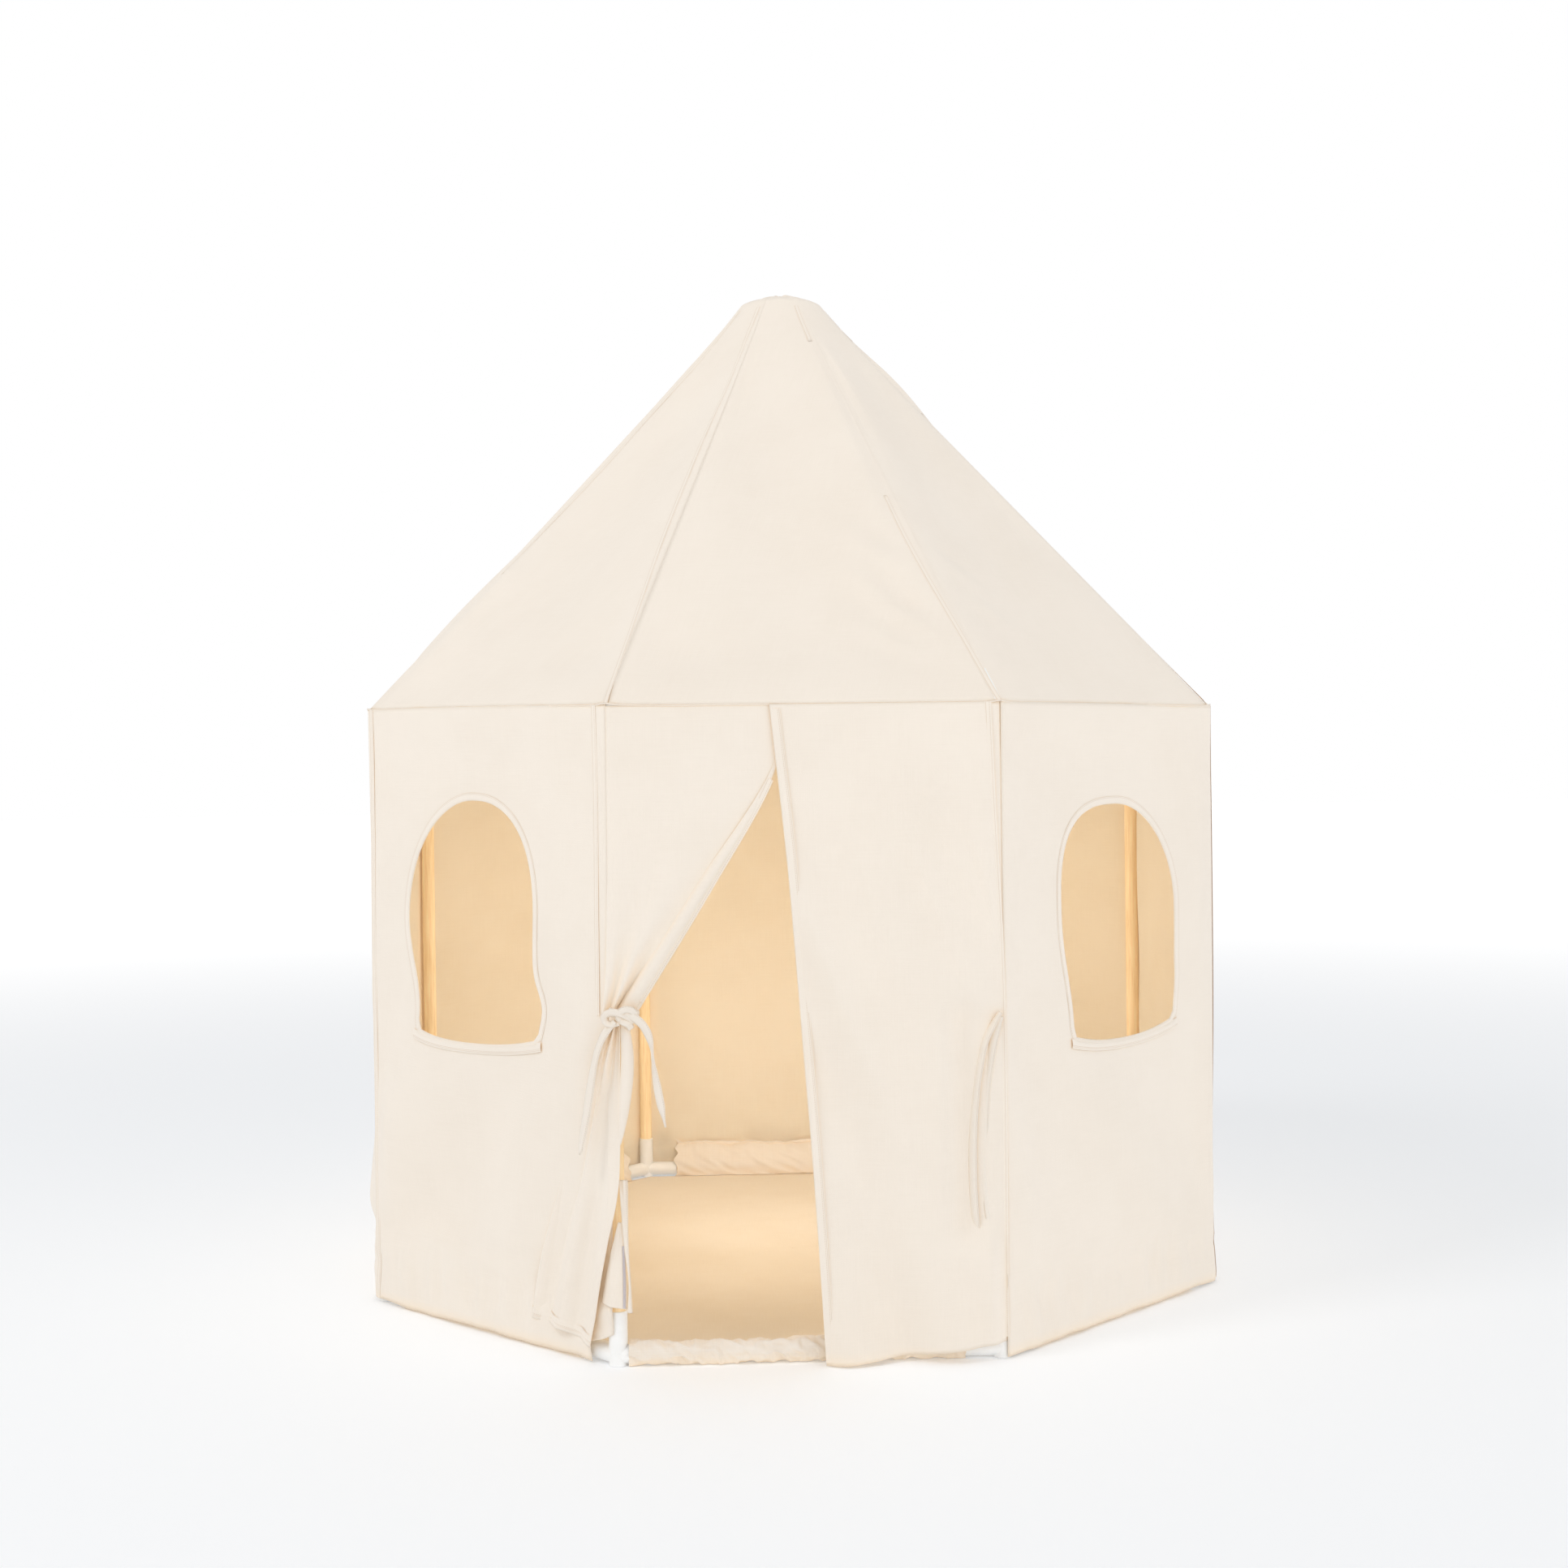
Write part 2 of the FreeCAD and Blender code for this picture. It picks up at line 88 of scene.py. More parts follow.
def curve(x, knots):
    """Value at x of a smooth line through (x, value) knots, which are in rising order of x."""
    if x <= knots[0][0]:
        return knots[0][1]
    if x >= knots[-1][0]:
        return knots[-1][1]
    k = next(k for k in range(len(knots) - 1) if x <= knots[k + 1][0])
    (xa, ya), (xb, yb) = knots[k], knots[k + 1]
    before, after = knots[max(k - 1, 0)], knots[min(k + 2, len(knots) - 1)]
    span = xb - xa
    slope_a = (yb - before[1]) / (xb - before[0]) * span
    slope_b = (after[1] - ya) / (after[0] - xa) * span
    t = (x - xa) / span
    return (ya * (2 * t ** 3 - 3 * t ** 2 + 1) + slope_a * (t ** 3 - 2 * t ** 2 + t)
            + yb * (3 * t ** 2 - 2 * t ** 3) + slope_b * (t ** 3 - t ** 2))


def rough(x, y, z, seed=0.0):
    return noise.noise(Vector((x + seed, y - seed * 0.7, z + seed * 0.3)))


def bell(x, middle, width):
    return math.exp(-((x - middle) / width) ** 2)


def lengths_along(line):
    lengths = [0.0]
    for a, b in zip(line, line[1:]):
        lengths.append(lengths[-1] + (b - a).length)
    return lengths


def linked(name, data):
    """A new object in the scene, which holds this data."""
    made = bpy.data.objects.new(name, data)
    bpy.context.collection.objects.link(made)
    return made


# Materials

def node(tree, kind, **values):
    made = tree.nodes.new(kind)
    for key, value in values.items():
        if key in made.inputs:
            made.inputs[key].default_value = value
        else:
            setattr(made, key, value)
    return made


def maths(tree, operation, *values):
    """A sum on numbers and sockets."""
    made = node(tree, "ShaderNodeMath", operation=operation)
    for socket, value in zip(made.inputs, values):
        if isinstance(value, (int, float)):
            socket.default_value = value
        else:
            tree.links.new(value, socket)
    return made.outputs[0]


def cloud(tree, place, **values):
    made = node(tree, "ShaderNodeTexNoise", **values)
    tree.links.new(place, made.inputs["Vector"])
    return made.outputs["Fac"]


def stretched(tree, place, scale):
    made = node(tree, "ShaderNodeMapping", Scale=scale)
    tree.links.new(place, made.inputs["Vector"])
    return made.outputs["Vector"]


def remap(tree, source, start, end, low, high, **values):
    made = node(tree, "ShaderNodeMapRange", **values)
    for socket, value in zip(("From Min", "From Max", "To Min", "To Max"), (start, end, low, high)):
        made.inputs[socket].default_value = value
    tree.links.new(source, made.inputs["Value"])
    return made.outputs[0]


def bump(tree, shader, height, strength, distance):
    made = node(tree, "ShaderNodeBump", Strength=strength, Distance=distance)
    tree.links.new(height, made.inputs["Height"])
    tree.links.new(made.outputs["Normal"], shader.inputs["Normal"])


def ramp(tree, source, low, high, at=(0.0, 1.0)):
    made = node(tree, "ShaderNodeValToRGB")
    ends = made.color_ramp.elements
    ends[0].position, ends[1].position = at
    ends[0].color, ends[1].color = (*low, 1), (*high, 1)
    tree.links.new(source, made.inputs["Fac"])
    return made.outputs["Color"]


def blank_material(name, roughness):
    made = bpy.data.materials.new(name)
    made.use_nodes = True
    tree = made.node_tree
    shader = tree.nodes["Principled BSDF"]
    shader.inputs["Roughness"].default_value = roughness
    shader.inputs["Specular IOR Level"].default_value = 0.25
    return made, tree, shader


def canvas(name, light, dark, thread=0.0009, weave=0.35, slub=0.4, sheen=0.25, stitch=None, seam=None):
    """Plain-weave cloth on a UV map in metres: threads, slubs, soft blotches, and an optional row of stitches."""
    made, tree, shader = blank_material(name, 0.92)
    shader.inputs["Sheen Weight"].default_value = sheen
    shader.inputs["Sheen Roughness"].default_value = 0.6
    uv = node(tree, "ShaderNodeUVMap", uv_map="UVMap").outputs["UV"]
    blotch = cloud(tree, uv, Scale=5.0, Detail=4.0, Roughness=0.6)
    slubs = maths(tree, "ADD", *[cloud(tree, stretched(tree, uv, scale), Scale=1.0, Detail=2.0, Roughness=0.5)
                                 for scale in ((900.0, 18.0, 1.0), (18.0, 900.0, 1.0))])
    tone = maths(tree, "MULTIPLY_ADD", slubs, slub, blotch)
    colour = ramp(tree, tone, dark, light, (0.55, 1.25 * (0.5 + slub)))
    # painted warm glow and shade in the cloth's folds and creases
    colour = paint_crease_glow(tree, colour)
    threads = []
    for way in ("X", "Y"):
        wave = node(tree, "ShaderNodeTexWave", wave_type="BANDS", bands_direction=way,
                    Scale=0.314 / thread, Distortion=0.6, Detail=1.0)
        tree.links.new(uv, wave.inputs["Vector"])
        threads.append(wave.outputs["Fac"])
    bump(tree, shader, maths(tree, "ADD", maths(tree, "MULTIPLY", *threads), slubs), weave, 0.0004)
    if stitch:
        colour = marked(tree, uv, colour, stitch, 0.32, dashed=True)
    # the seam line: partly the seam's thread, partly painted shadow in the fold where the cloths meet
    if seam:
        colour = marked(tree, uv, colour, seam, 0.45)
    tree.links.new(colour, shader.inputs["Base Color"])
    return made


def paint_crease_glow(tree, colour, depth=0.024):
    """Painted glow in the folds: the more the cloth is shut in, the more its colour is mixed towards a warm tint, for
    light that comes through thin cloth.
    """
    shut_in = node(tree, "ShaderNodeAmbientOcclusion", samples=6, Distance=depth)
    warmed = node(tree, "ShaderNodeMix", data_type="RGBA")
    warmed.inputs["A"].default_value = (*PAINTED_CREASE_GLOW, 1)
    tree.links.new(shut_in.outputs["AO"], warmed.inputs["Factor"])
    tree.links.new(colour, warmed.inputs["B"])
    return warmed.outputs["Result"]


def marked(tree, uv, colour, row, strength, dashed=False):
    """Draws a line of thread colour along a strip, at that distance across it: a seam line, partly thread and partly
    painted shadow in the seam's fold, or a row of stitches.
    """
    link = tree.links.new
    split = node(tree, "ShaderNodeSeparateXYZ")
    link(uv, split.inputs[0])
    off = maths(tree, "ABSOLUTE", maths(tree, "SUBTRACT", split.outputs["X"], row))
    line = maths(tree, "MULTIPLY", maths(tree, "LESS_THAN", off, 0.0005), strength)
    if dashed:
        dash = maths(tree, "LESS_THAN", maths(tree, "MODULO", split.outputs["Y"], STITCH), STITCH * 0.65)
        line = maths(tree, "MULTIPLY", line, maths(tree, "ADD", dash, 0.4))
    mark = node(tree, "ShaderNodeMix", data_type="RGBA")
    mark.inputs["B"].default_value = (*THREAD, 1)
    link(line, mark.inputs["Factor"])
    link(colour, mark.inputs["A"])
    return mark.outputs["Result"]


def wood(name, along):
    """Sanded pine, its grain stretched along one axis of the frame, with a faint painted glow."""
    made, tree, shader = blank_material(name, 0.55)
    link = tree.links.new
    place = node(tree, "ShaderNodeTexCoord").outputs["Object"]
    scale = tuple(12.0 if k == along else 260.0 for k in range(3))
    grain = cloud(tree, stretched(tree, place, scale), Scale=1.0, Detail=6.0, Roughness=0.65, Distortion=0.4)
    colour = ramp(tree, grain, (0.76, 0.54, 0.29), (0.95, 0.77, 0.50), (0.3, 0.68))
    link(colour, shader.inputs["Base Color"])
    # painted glow: the wood emits its own colour, for the daylight that comes through the cloth behind it
    link(colour, shader.inputs["Emission Color"])
    shader.inputs["Emission Strength"].default_value = PAINTED_WOOD_GLOW
    bump(tree, shader, grain, 0.25, 0.0004)
    return made


def plastic(name):
    """Satin white moulded fitting with faint flow marks and scuffs."""
    made, tree, shader = blank_material(name, 0.38)
    place = node(tree, "ShaderNodeTexCoord").outputs["Object"]
    flow = cloud(tree, place, Scale=22.0, Detail=5.0, Roughness=0.7)
    colour = ramp(tree, flow, (0.90, 0.90, 0.885), (0.975, 0.975, 0.965), (0.3, 0.7))
    tree.links.new(colour, shader.inputs["Base Color"])
    tree.links.new(remap(tree, flow, 0.0, 1.0, 0.30, 0.52), shader.inputs["Roughness"])
    bump(tree, shader, cloud(tree, place, Scale=700.0, Detail=2.0), 0.08, 0.0003)
    return made


THREAD = (0.66, 0.51, 0.37)
# painted glow of the posts' wood, which is no lamp
PAINTED_WOOD_GLOW = 0.16            # for the daylight that comes through the cloth behind each post
# warm colour of the glow painted into the cloth's folds
PAINTED_CREASE_GLOW = (1.0, 0.82, 0.61)
STITCH = 0.0032
OUTSIDE = canvas("canvas_outside", (0.907, 0.826, 0.728), (0.872, 0.786, 0.684))
# The inner side is painted warmer and more saturated than the outer: painted light that comes through the cloth.
INSIDE = canvas("canvas_inside", (0.885, 0.796, 0.645), (0.84, 0.738, 0.575), weave=0.45)
HEM = canvas("canvas_hem", (0.907, 0.828, 0.732), (0.868, 0.783, 0.682), stitch=0.0092, seam=0.0111)
SEAM = canvas("canvas_seam", (0.907, 0.826, 0.728), (0.872, 0.786, 0.684), stitch=0.0062, seam=0.0012)
SLEEVE = canvas("canvas_sleeve", (0.90, 0.825, 0.735), (0.82, 0.72, 0.60))
FLOOR = canvas("canvas_floor", (0.865, 0.770, 0.625), (0.815, 0.705, 0.545), thread=0.0007, weave=0.2)
TAPE = canvas("cotton_tape", (0.925, 0.85, 0.755), (0.885, 0.805, 0.705), thread=0.0006, weave=0.5, stitch=0.0017)
FUZZ = canvas("hook_and_loop", (0.83, 0.76, 0.79), (0.66, 0.58, 0.62), thread=0.0005, weave=1.0, sheen=0.6)
WOOD_UP = wood("pine_upright", 2)
WOOD_ACROSS = wood("pine_across", 0)
PLASTIC = plastic("white_fitting")


# Mesh building

def mesh_object(name, points, faces, uvs, materials):
    data = bpy.data.meshes.new(name)
    data.from_pydata([tuple(p) for p in points], [], faces)
    layer = data.uv_layers.new(name="UVMap")
    for loop in data.loops:
        layer.data[loop.index].uv = uvs[loop.vertex_index]
    data.shade_smooth()
    for material in materials:
        data.materials.append(material)
    return linked(name, data)


def grid(name, across, down, place, materials, thick=CLOTH, offset=-1.0, drop=None, body=TENT):
    """A cloth sheet from place(i, j) -> (point, uv). drop(i, j) leaves a face out."""
    points, uvs = zip(*[place(i, j) for j in range(down + 1) for i in range(across + 1)])
    row = across + 1
    faces = [(j * row + i, j * row + i + 1, (j + 1) * row + i + 1, (j + 1) * row + i)
             for j in range(down) for i in range(across) if not (drop and drop(i, j))]
    return finish_sheet(mesh_object(name, points, faces, uvs, materials), thick, offset, body)


def finish_sheet(made, thick=CLOTH, offset=-1.0, body=TENT):
    """Gives a sheet its thickness, with the second material on its inner side."""
    if thick:
        solid = made.modifiers.new("thickness", "SOLIDIFY")
        solid.thickness = thick
        solid.offset = offset
        solid.material_offset = 1 if len(made.data.materials) > 1 else 0
        solid.use_rim = True
    if body:
        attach(made, body)
    return made


def face_outwards(made):
    """Turns a sheet over if its front looks towards the tent's axis."""
    score = sum(face.normal.x * face.center.x + face.normal.y * face.center.y + max(face.normal.z, 0) * 0.2
                for face in made.data.polygons)
    if score < 0:
        made.data.flip_normals()


def declare_sheet(nodes):
    """Hides the CAD nodes that a sheet stands for."""
    if nodes:
        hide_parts(*nodes)


def strip(name, centre, side, width, material, up, lift=0.0003, body=TENT):
    """A narrow sewn band along points, side(k) giving the across direction and up(k) the outward one."""
    lengths = lengths_along(centre)
    rows = 4

    def place(i, k):
        t = i / rows
        crown = lift * math.sin(math.pi * t) ** 0.5 if 0 < i < rows else 0.0
        point = centre[k] + side(k) * (width * (t - 0.5)) + up(k) * crown
        return point, (width * t, lengths[k])

    made = grid(name, rows, len(centre) - 1, place, [material], thick=None, body=body)
    return made


# The walls' plan: a rounded octagon, measured along from the door's right corner to its left one

ROUND_R = 0.017


def plan(s):
    """Point and outward normal at distance s along the walls, which starts at the door's right corner."""
    side = math.floor(s / SIDE)
    along = s - side * SIDE
    turn = -math.pi / 2 + (side + 1) * math.pi / 4
    reach = ROUND_R * math.tan(HALF)
    near_low, near_high = along < reach, SIDE - along < reach
    if near_low or near_high:
        corner_turn = turn - HALF if near_low else turn + HALF
        swing = (along if near_low else along - SIDE) / reach * HALF
        angle = corner_turn + swing
        middle_r = (WALL_OUT - ROUND_R) / math.cos(HALF)
        middle = Vector((math.cos(corner_turn), math.sin(corner_turn), 0)) * middle_r
        normal = Vector((math.cos(angle), math.sin(angle), 0))
        return middle + normal * ROUND_R, normal
    normal = Vector((math.cos(turn), math.sin(turn), 0))
    tangent = Vector((-math.sin(turn), math.cos(turn), 0))
    return normal * WALL_OUT + tangent * (along - SIDE / 2), normal


def standing(foot, out, z):
    """The point at height z, at a distance out from a place on the plan. foot is that place's (point, normal)."""
    point = foot[0] + foot[1] * out
    point.z = z
    return point


def side_fraction(s):
    return (s / SIDE) % 1.0


def raise_eave(point):
    """The sewn edge between roof and walls rides up a little on the tent's left."""
    near = bell(point.z, WALL_TOP, 0.09) if point.z < WALL_TOP else bell(point.z, WALL_TOP, 0.16)
    point.z += 0.0080 * near * smooth(0.10, 0.62, -point.x)
    return point


# Windows: (along from the panel's middle, height). Use has pulled each arch a little out of true.

class Window:
    def __init__(self, panel, node, middle, half, head, square, slump, bulge, sill):
        self.panel = panel                  # its place along the plan
        self.node = node                    # the CAD's binding
        self.middle = middle
        self.half = half
        self.spring = 0.600                 # where the sides end and the head begins
        self.head = head                    # the head's height
        self.square = square                # how square each shoulder is, left and right; 2 is an ellipse
        self.slump = slump                  # how far each side leans in at its foot
        self.bulge = bulge                  # how far each side is pushed out just above the sill
        self.sill = sill                    # the sill's height, at its left end, middle and right end
        self.outline = [self.point(k / 200) for k in range(200)]

    def sill_height(self, u):
        left, middle, right = self.sill
        return middle + (left - middle if u < 0 else right - middle) * abs(u) ** 2.2

    def side(self, hand, z):
        """The left (hand 0) or right (hand 1) side's place at height z."""
        sign = 2 * hand - 1
        lean = self.slump[hand] * smooth(0.60, 0.45, z)
        push = self.bulge[hand] * bell(z, 0.480, 0.034)
        return self.middle + sign * (self.half - lean + push)

    def point(self, t):
        """Round the outline from the sill's left end: along the sill, up, over the head and down."""
        if t < 0.25:
            u = mix(-1, 1, t / 0.25)
            left = self.side(0, self.sill[0]) + 0.004
            right = self.side(1, self.sill[2]) - 0.004
            return mix(left, right, (u + 1) / 2), self.sill_height(u)
        if t < 0.42:
            z = mix(self.sill[2] + 0.010, self.spring, (t - 0.25) / 0.17)
            return self.side(1, z), z
        if t < 0.83:
            turn = (t - 0.42) / 0.41 * math.pi
            power = 2 / self.square[0 if turn > math.pi / 2 else 1]
            reach = math.copysign(abs(math.cos(turn)) ** power, math.cos(turn))
            return self.middle + self.half * reach, self.spring + self.head * math.sin(turn) ** power
        z = mix(self.spring, self.sill[0] + 0.010, (t - 0.83) / 0.17)
        return self.side(0, z), z


WINDOWS = [
    Window(6, "window_binding_left", middle=-0.027, half=0.143, head=0.173, square=(2.0, 2.3),
           slump=(0.026, 0.001), bulge=(0.0, 0.016), sill=(0.431, 0.419, 0.433)),
    Window(0, "window_binding_right", middle=0.016, half=0.138, head=0.156, square=(2.8, 2.0),
           slump=(0.020, 0.0), bulge=(0.0, 0.004), sill=(0.423, 0.409, 0.427))]


def inside(outline, x, z):
    hit = False
    for (xa, za), (xb, zb) in zip(outline, outline[1:] + outline[:1]):
        if (za > z) != (zb > z) and x < (xb - xa) * (z - za) / (zb - za) + xa:
            hit = not hit
    return hit


def nearest(outline, x, z):
    return min(outline, key=lambda p: (p[0] - x) ** 2 + (p[1] - z) ** 2)


# Walls

HEM_TOP = 0.062


def wall_wrinkle(s, z):
    """How far the cloth stands out from its plane. Near posts and rails it never goes inwards."""
    f = side_fraction(s)
    clear = smooth(0.0, 0.10, f) * smooth(1.0, 0.90, f) * smooth(0.03, 0.16, z) * smooth(WALL_TOP, WALL_TOP - 0.09, z)
    broad = rough(s * 2.4, z * 1.6, 0, 3.1) * 0.020
    slant = s * 4.2 + z * 3.1 * math.cos(s / (7 * SIDE) * math.pi)
    fold = rough(slant * 1.3, z * 1.2, 0, 8.0) * 0.032 * smooth(0.62, 0.30, z) * smooth(0.05, 0.15, z)
    pull = rough(s * 10, z * 3.5, 0, 21.0) * 0.0022
    low = bell(z, 0.052, 0.040)
    gather = max(rough(s * 30, z * 6, 0, 5.0) + 0.12, -0.05) * 0.0120 * low
    crease = max(rough(s * 9 + z * 22, z * 30 - s * 5, 0, 44.0), -0.1) * 0.0050 * bell(z, 0.085, 0.050)
    eave = max(rough(s * 22, z * 4, 0, 15.0), 0) * 0.0030 * smooth(WALL_TOP - 0.12, WALL_TOP, z)
    channel = 0.0022 * bell(z, RAIL_Z + 0.004, 0.020) - 0.0008 * bell(z, HEM_TOP, 0.005)
    free = (broad + fold + pull) * clear
    return free + abs(broad) * (1 - clear) * 0.25 + gather + crease + eave + max(channel, -0.0004)


def wall_low(s):
    """Height of a wall's bottom edge, which wavers a little."""
    return 0.0025 + max(rough(s * 14, 0, 0, 2.0), 0) * 0.006


def door_end(z):
    """The last wall stops short of the door's left corner near the ground, where the fitting shows."""
    return 7 * SIDE - 0.040 * smooth(0.041, 0.033, z)


def build_walls():
    per_side, rows = 84, 128
    across = 7 * per_side
    pinned = {}

    def base(i, j):
        low = wall_low(i / per_side * SIDE)
        z = mix(WALL_TOP + 0.0004, low, j / rows)
        s = i / per_side * SIDE
        if s > 6.5 * SIDE:
            s = mix(6.5 * SIDE, door_end(z), (s - 6.5 * SIDE) / (0.5 * SIDE))
        return s, z

    hidden = set()
    for window in WINDOWS:
        for j in range(rows + 1):
            for i in range(window.panel * per_side, (window.panel + 1) * per_side + 1):
                s, z = base(i, j)
                x = s - (window.panel + 0.5) * SIDE
                if abs(x) < 0.2 and 0.38 < z < 0.82 and inside(window.outline, x, z):
                    hidden.add((i, j))
                    edge_x, edge_z = nearest(window.outline, x, z)
                    pinned[i, j] = (edge_x + (window.panel + 0.5) * SIDE, edge_z)

    def drop(i, j):
        return all(c in hidden for c in ((i, j), (i + 1, j), (i, j + 1), (i + 1, j + 1)))

    def place(i, j):
        s, z = pinned.get((i, j), base(i, j))
        return raise_eave(standing(plan(s), wall_wrinkle(s, z), z)), (s, z)

    walls = grid("canvas_walls", across, rows, place, [OUTSIDE, INSIDE], drop=drop)
    face_outwards(walls)
    panels = [n for n in frame["nodes"] if n.startswith("wall_")]
    declare_sheet(panels)


def wall_line(name, along, low, high, count=90, width=0.009):
    """A flat-felled seam up the canvas: along(z) is its place on the plan."""
    points, normals = [], []
    for k in range(count + 1):
        z = mix(low, high, k / count)
        s = along(z)
        points.append(raise_eave(standing(plan(s), wall_wrinkle(s, z) + 0.0004, z)))
        normals.append(plan(s)[1])
    strip(name, points, lambda k: Vector((-normals[k].y, normals[k].x, 0)), width, SEAM, lambda k: normals[k])


def build_wall_seams():
    """A seam runs up beside each corner, and wanders a little from it."""
    for corner in range(1, 7):
        wander = 0.006 + 0.010 * rough(corner * 5.3, 0, 0)
        wall_line(f"wall_seam_{corner}", lambda z, c=corner, w=wander: c * SIDE + w + 0.005 * rough(z * 3, c, 0),
                  0.006, WALL_TOP)
    wall_line("door_seam_left", lambda z: 7 * SIDE - mix(0.013, 0.023, z / WALL_TOP), 0.48, WALL_TOP)


def build_bindings():
    """Stitched facing round each window, and a wider band sewn over its sill."""
    for window in WINDOWS:
        facing = window_facing(window)
        band = sill_band(window)
        for made in (facing, band):
            face_outwards(made)
        declare_sheet([window.node])


def on_panel(window, x, z, lift):
    s = x + (window.panel + 0.5) * SIDE
    return standing(plan(s), wall_wrinkle(s, z) + lift, z)


def window_facing(window, width=0.0115, steps=6):
    outline = window.outline
    count = len(outline)
    travelled = [0.0]
    for a, b in zip(outline, outline[1:] + outline[:1]):
        travelled.append(travelled[-1] + math.dist(a, b))

    def place(i, k):
        t = i / steps
        (xa, za), (x, z), (xb, zb) = outline[k % count - 1], outline[k % count], outline[(k + 1) % count]
        run = Vector((xb - xa, zb - za)).normalized()
        out = width * t - 0.0008
        lift = -0.0010 if i == 0 else 0.0003 + 0.0004 * math.sin(math.pi * t)
        lift += rough(travelled[k] * 60, t, 0, 4.0) * 0.0003
        return on_panel(window, x + run.y * out, z - run.x * out, lift), (width * t, travelled[k])

    return grid(window.node + "_facing", steps, count, place, [HEM], thick=None)


def sill_band(window, width=0.0135, over=0.010, steps=5, count=60):
    left, right = window.side(0, window.sill[0]) - over, window.side(1, window.sill[2]) + over

    def place(i, k):
        t, u = i / steps, mix(-1, 1, k / count)
        x = mix(left, right, k / count)
        z = window.sill_height(u) - 0.0004 - width * t
        lift = -0.0008 if i == 0 and abs(u) < 0.92 else 0.0012 + 0.0009 * math.sin(math.pi * t) + 0.0006 * u * u
        return on_panel(window, x, z, lift), (width * t, x)

    return grid(window.node + "_sill_band", steps, count, place, [HEM], thick=None)


# Roof

KINK_Z, KINK_R = 1.4885, 0.1425      # where the roof's slope turns steeper, below the crown
SLOPE_OUT, SLOPE_UP = 0.76, 0.65     # a gore's outward direction: along the ground, and up
KINK_V, RIM_V = 0.72, 0.88           # the kink's and the crown's rim's share of the way up the cloth
SEAM_OFFSETS = [-0.020, -0.016, 0.012, -0.010, 0.014, 0.010, -0.012, 0.016]   # from each gore's first ridge


def crown_height(radius):
    """The crown's dome, which follows the CAD's cap and so clears the hub under it."""
    return CAP_TOP - 0.0002 - 3.6 * radius ** 2


def roof_profile(v):
    """(distance across flats, height) from the eave at v 0, past the kink and the crown's rim, to the top."""
    if v < KINK_V:
        t = v / KINK_V
        return mix(ROOF_REACH, KINK_R, t), mix(ROOF_LOW + 0.0012, KINK_Z, t)
    if v < RIM_V:
        t = (v - KINK_V) / (RIM_V - KINK_V)
        return mix(KINK_R, CAP_R, t), mix(KINK_Z, crown_height(CAP_R), t)
    t = (v - RIM_V) / (1 - RIM_V)
    radius = CAP_R * (1 - t)
    return radius, crown_height(radius)


def build_roof():
    per_side, rows = 60, 150
    across = 8 * per_side

    def place(i, j):
        v = j / rows
        flat, z = roof_profile(v)
        f = (i % per_side) / per_side
        gore = i // per_side
        turn = -math.pi / 2 + gore * math.pi / 4
        lean = (f - 0.5) * 2 * HALF
        polygon = flat / math.cos(lean)
        ridge_round = mix(0.0038, 0.0020, smooth(0.6, 0.72, v)) * smooth(0.9, 0.8, v)
        ridge_round *= bell(min(f, 1 - f) * 2 * flat * math.tan(HALF), 0, 0.021)
        roundness = smooth(0.70, 0.93, v)
        radius = mix(polygon - ridge_round, flat * 1.01, roundness)
        wide = flat * math.tan(HALF) * 2
        sag = 0.0110 * math.sin(math.pi * f) ** 2 * math.sin(math.pi * min(v / KINK_V, 1)) * smooth(0, 0.2, v)
        angle = turn + lean
        x, y = radius * math.cos(angle), radius * math.sin(angle)
        u = f * wide
        free = smooth(0, 0.12, f) * smooth(1, 0.88, f) * smooth(0.02, 0.12, v) * smooth(0.86, 0.6, v)
        wrinkle = rough(x * 2.6, y * 2.6, z * 2.6, 11.0) * 0.0140
        wrinkle += rough(u * 8 + z * 5, z * 3.0, gore, 2.0) * 0.0080
        near = bell(f, 0.84, 0.15) if gore == 0 else 0.35 * bell(f, 0.15, 0.12)
        crease = rough((u * 0.55 + z) * 24, (z - u) * 5, gore, 6.0) * 0.0200 * near * bell(z, 1.065, 0.095)
        puckers = rough(math.cos(angle) * 7, math.sin(angle) * 7, 0, 9.0) * 0.0022 * smooth(0.86, 0.90, v)
        gather = math.sin(angle * 19) * 0.0011 * bell(v, 0.965, 0.025)
        lift = (wrinkle + crease) * free - sag
        out = SLOPE_OUT * lift
        point = Vector((x + math.cos(angle) * out, y + math.sin(angle) * out,
                        z + lift * SLOPE_UP + max(puckers + gather, -0.0004) * smooth(0.86, 0.9, v)))
        point.z = min(point.z, CAP_TOP + 0.002)
        return raise_eave(point), (u + gore * 0.7, v * 0.9)

    roof = grid("canvas_roof", across, rows, place, [OUTSIDE, INSIDE])
    face_outwards(roof)
    declare_sheet(["roof_cover", "crown_cap"])
    return roof


def roof_point(gore, f, v):
    flat, z = roof_profile(v)
    lean = (f - 0.5) * 2 * HALF
    angle = -math.pi / 2 + gore * math.pi / 4 + lean
    roundness = smooth(0.70, 0.93, v)
    radius = mix(flat / math.cos(lean), flat * 1.01, roundness)
    return Vector((radius * math.cos(angle), radius * math.sin(angle), z))


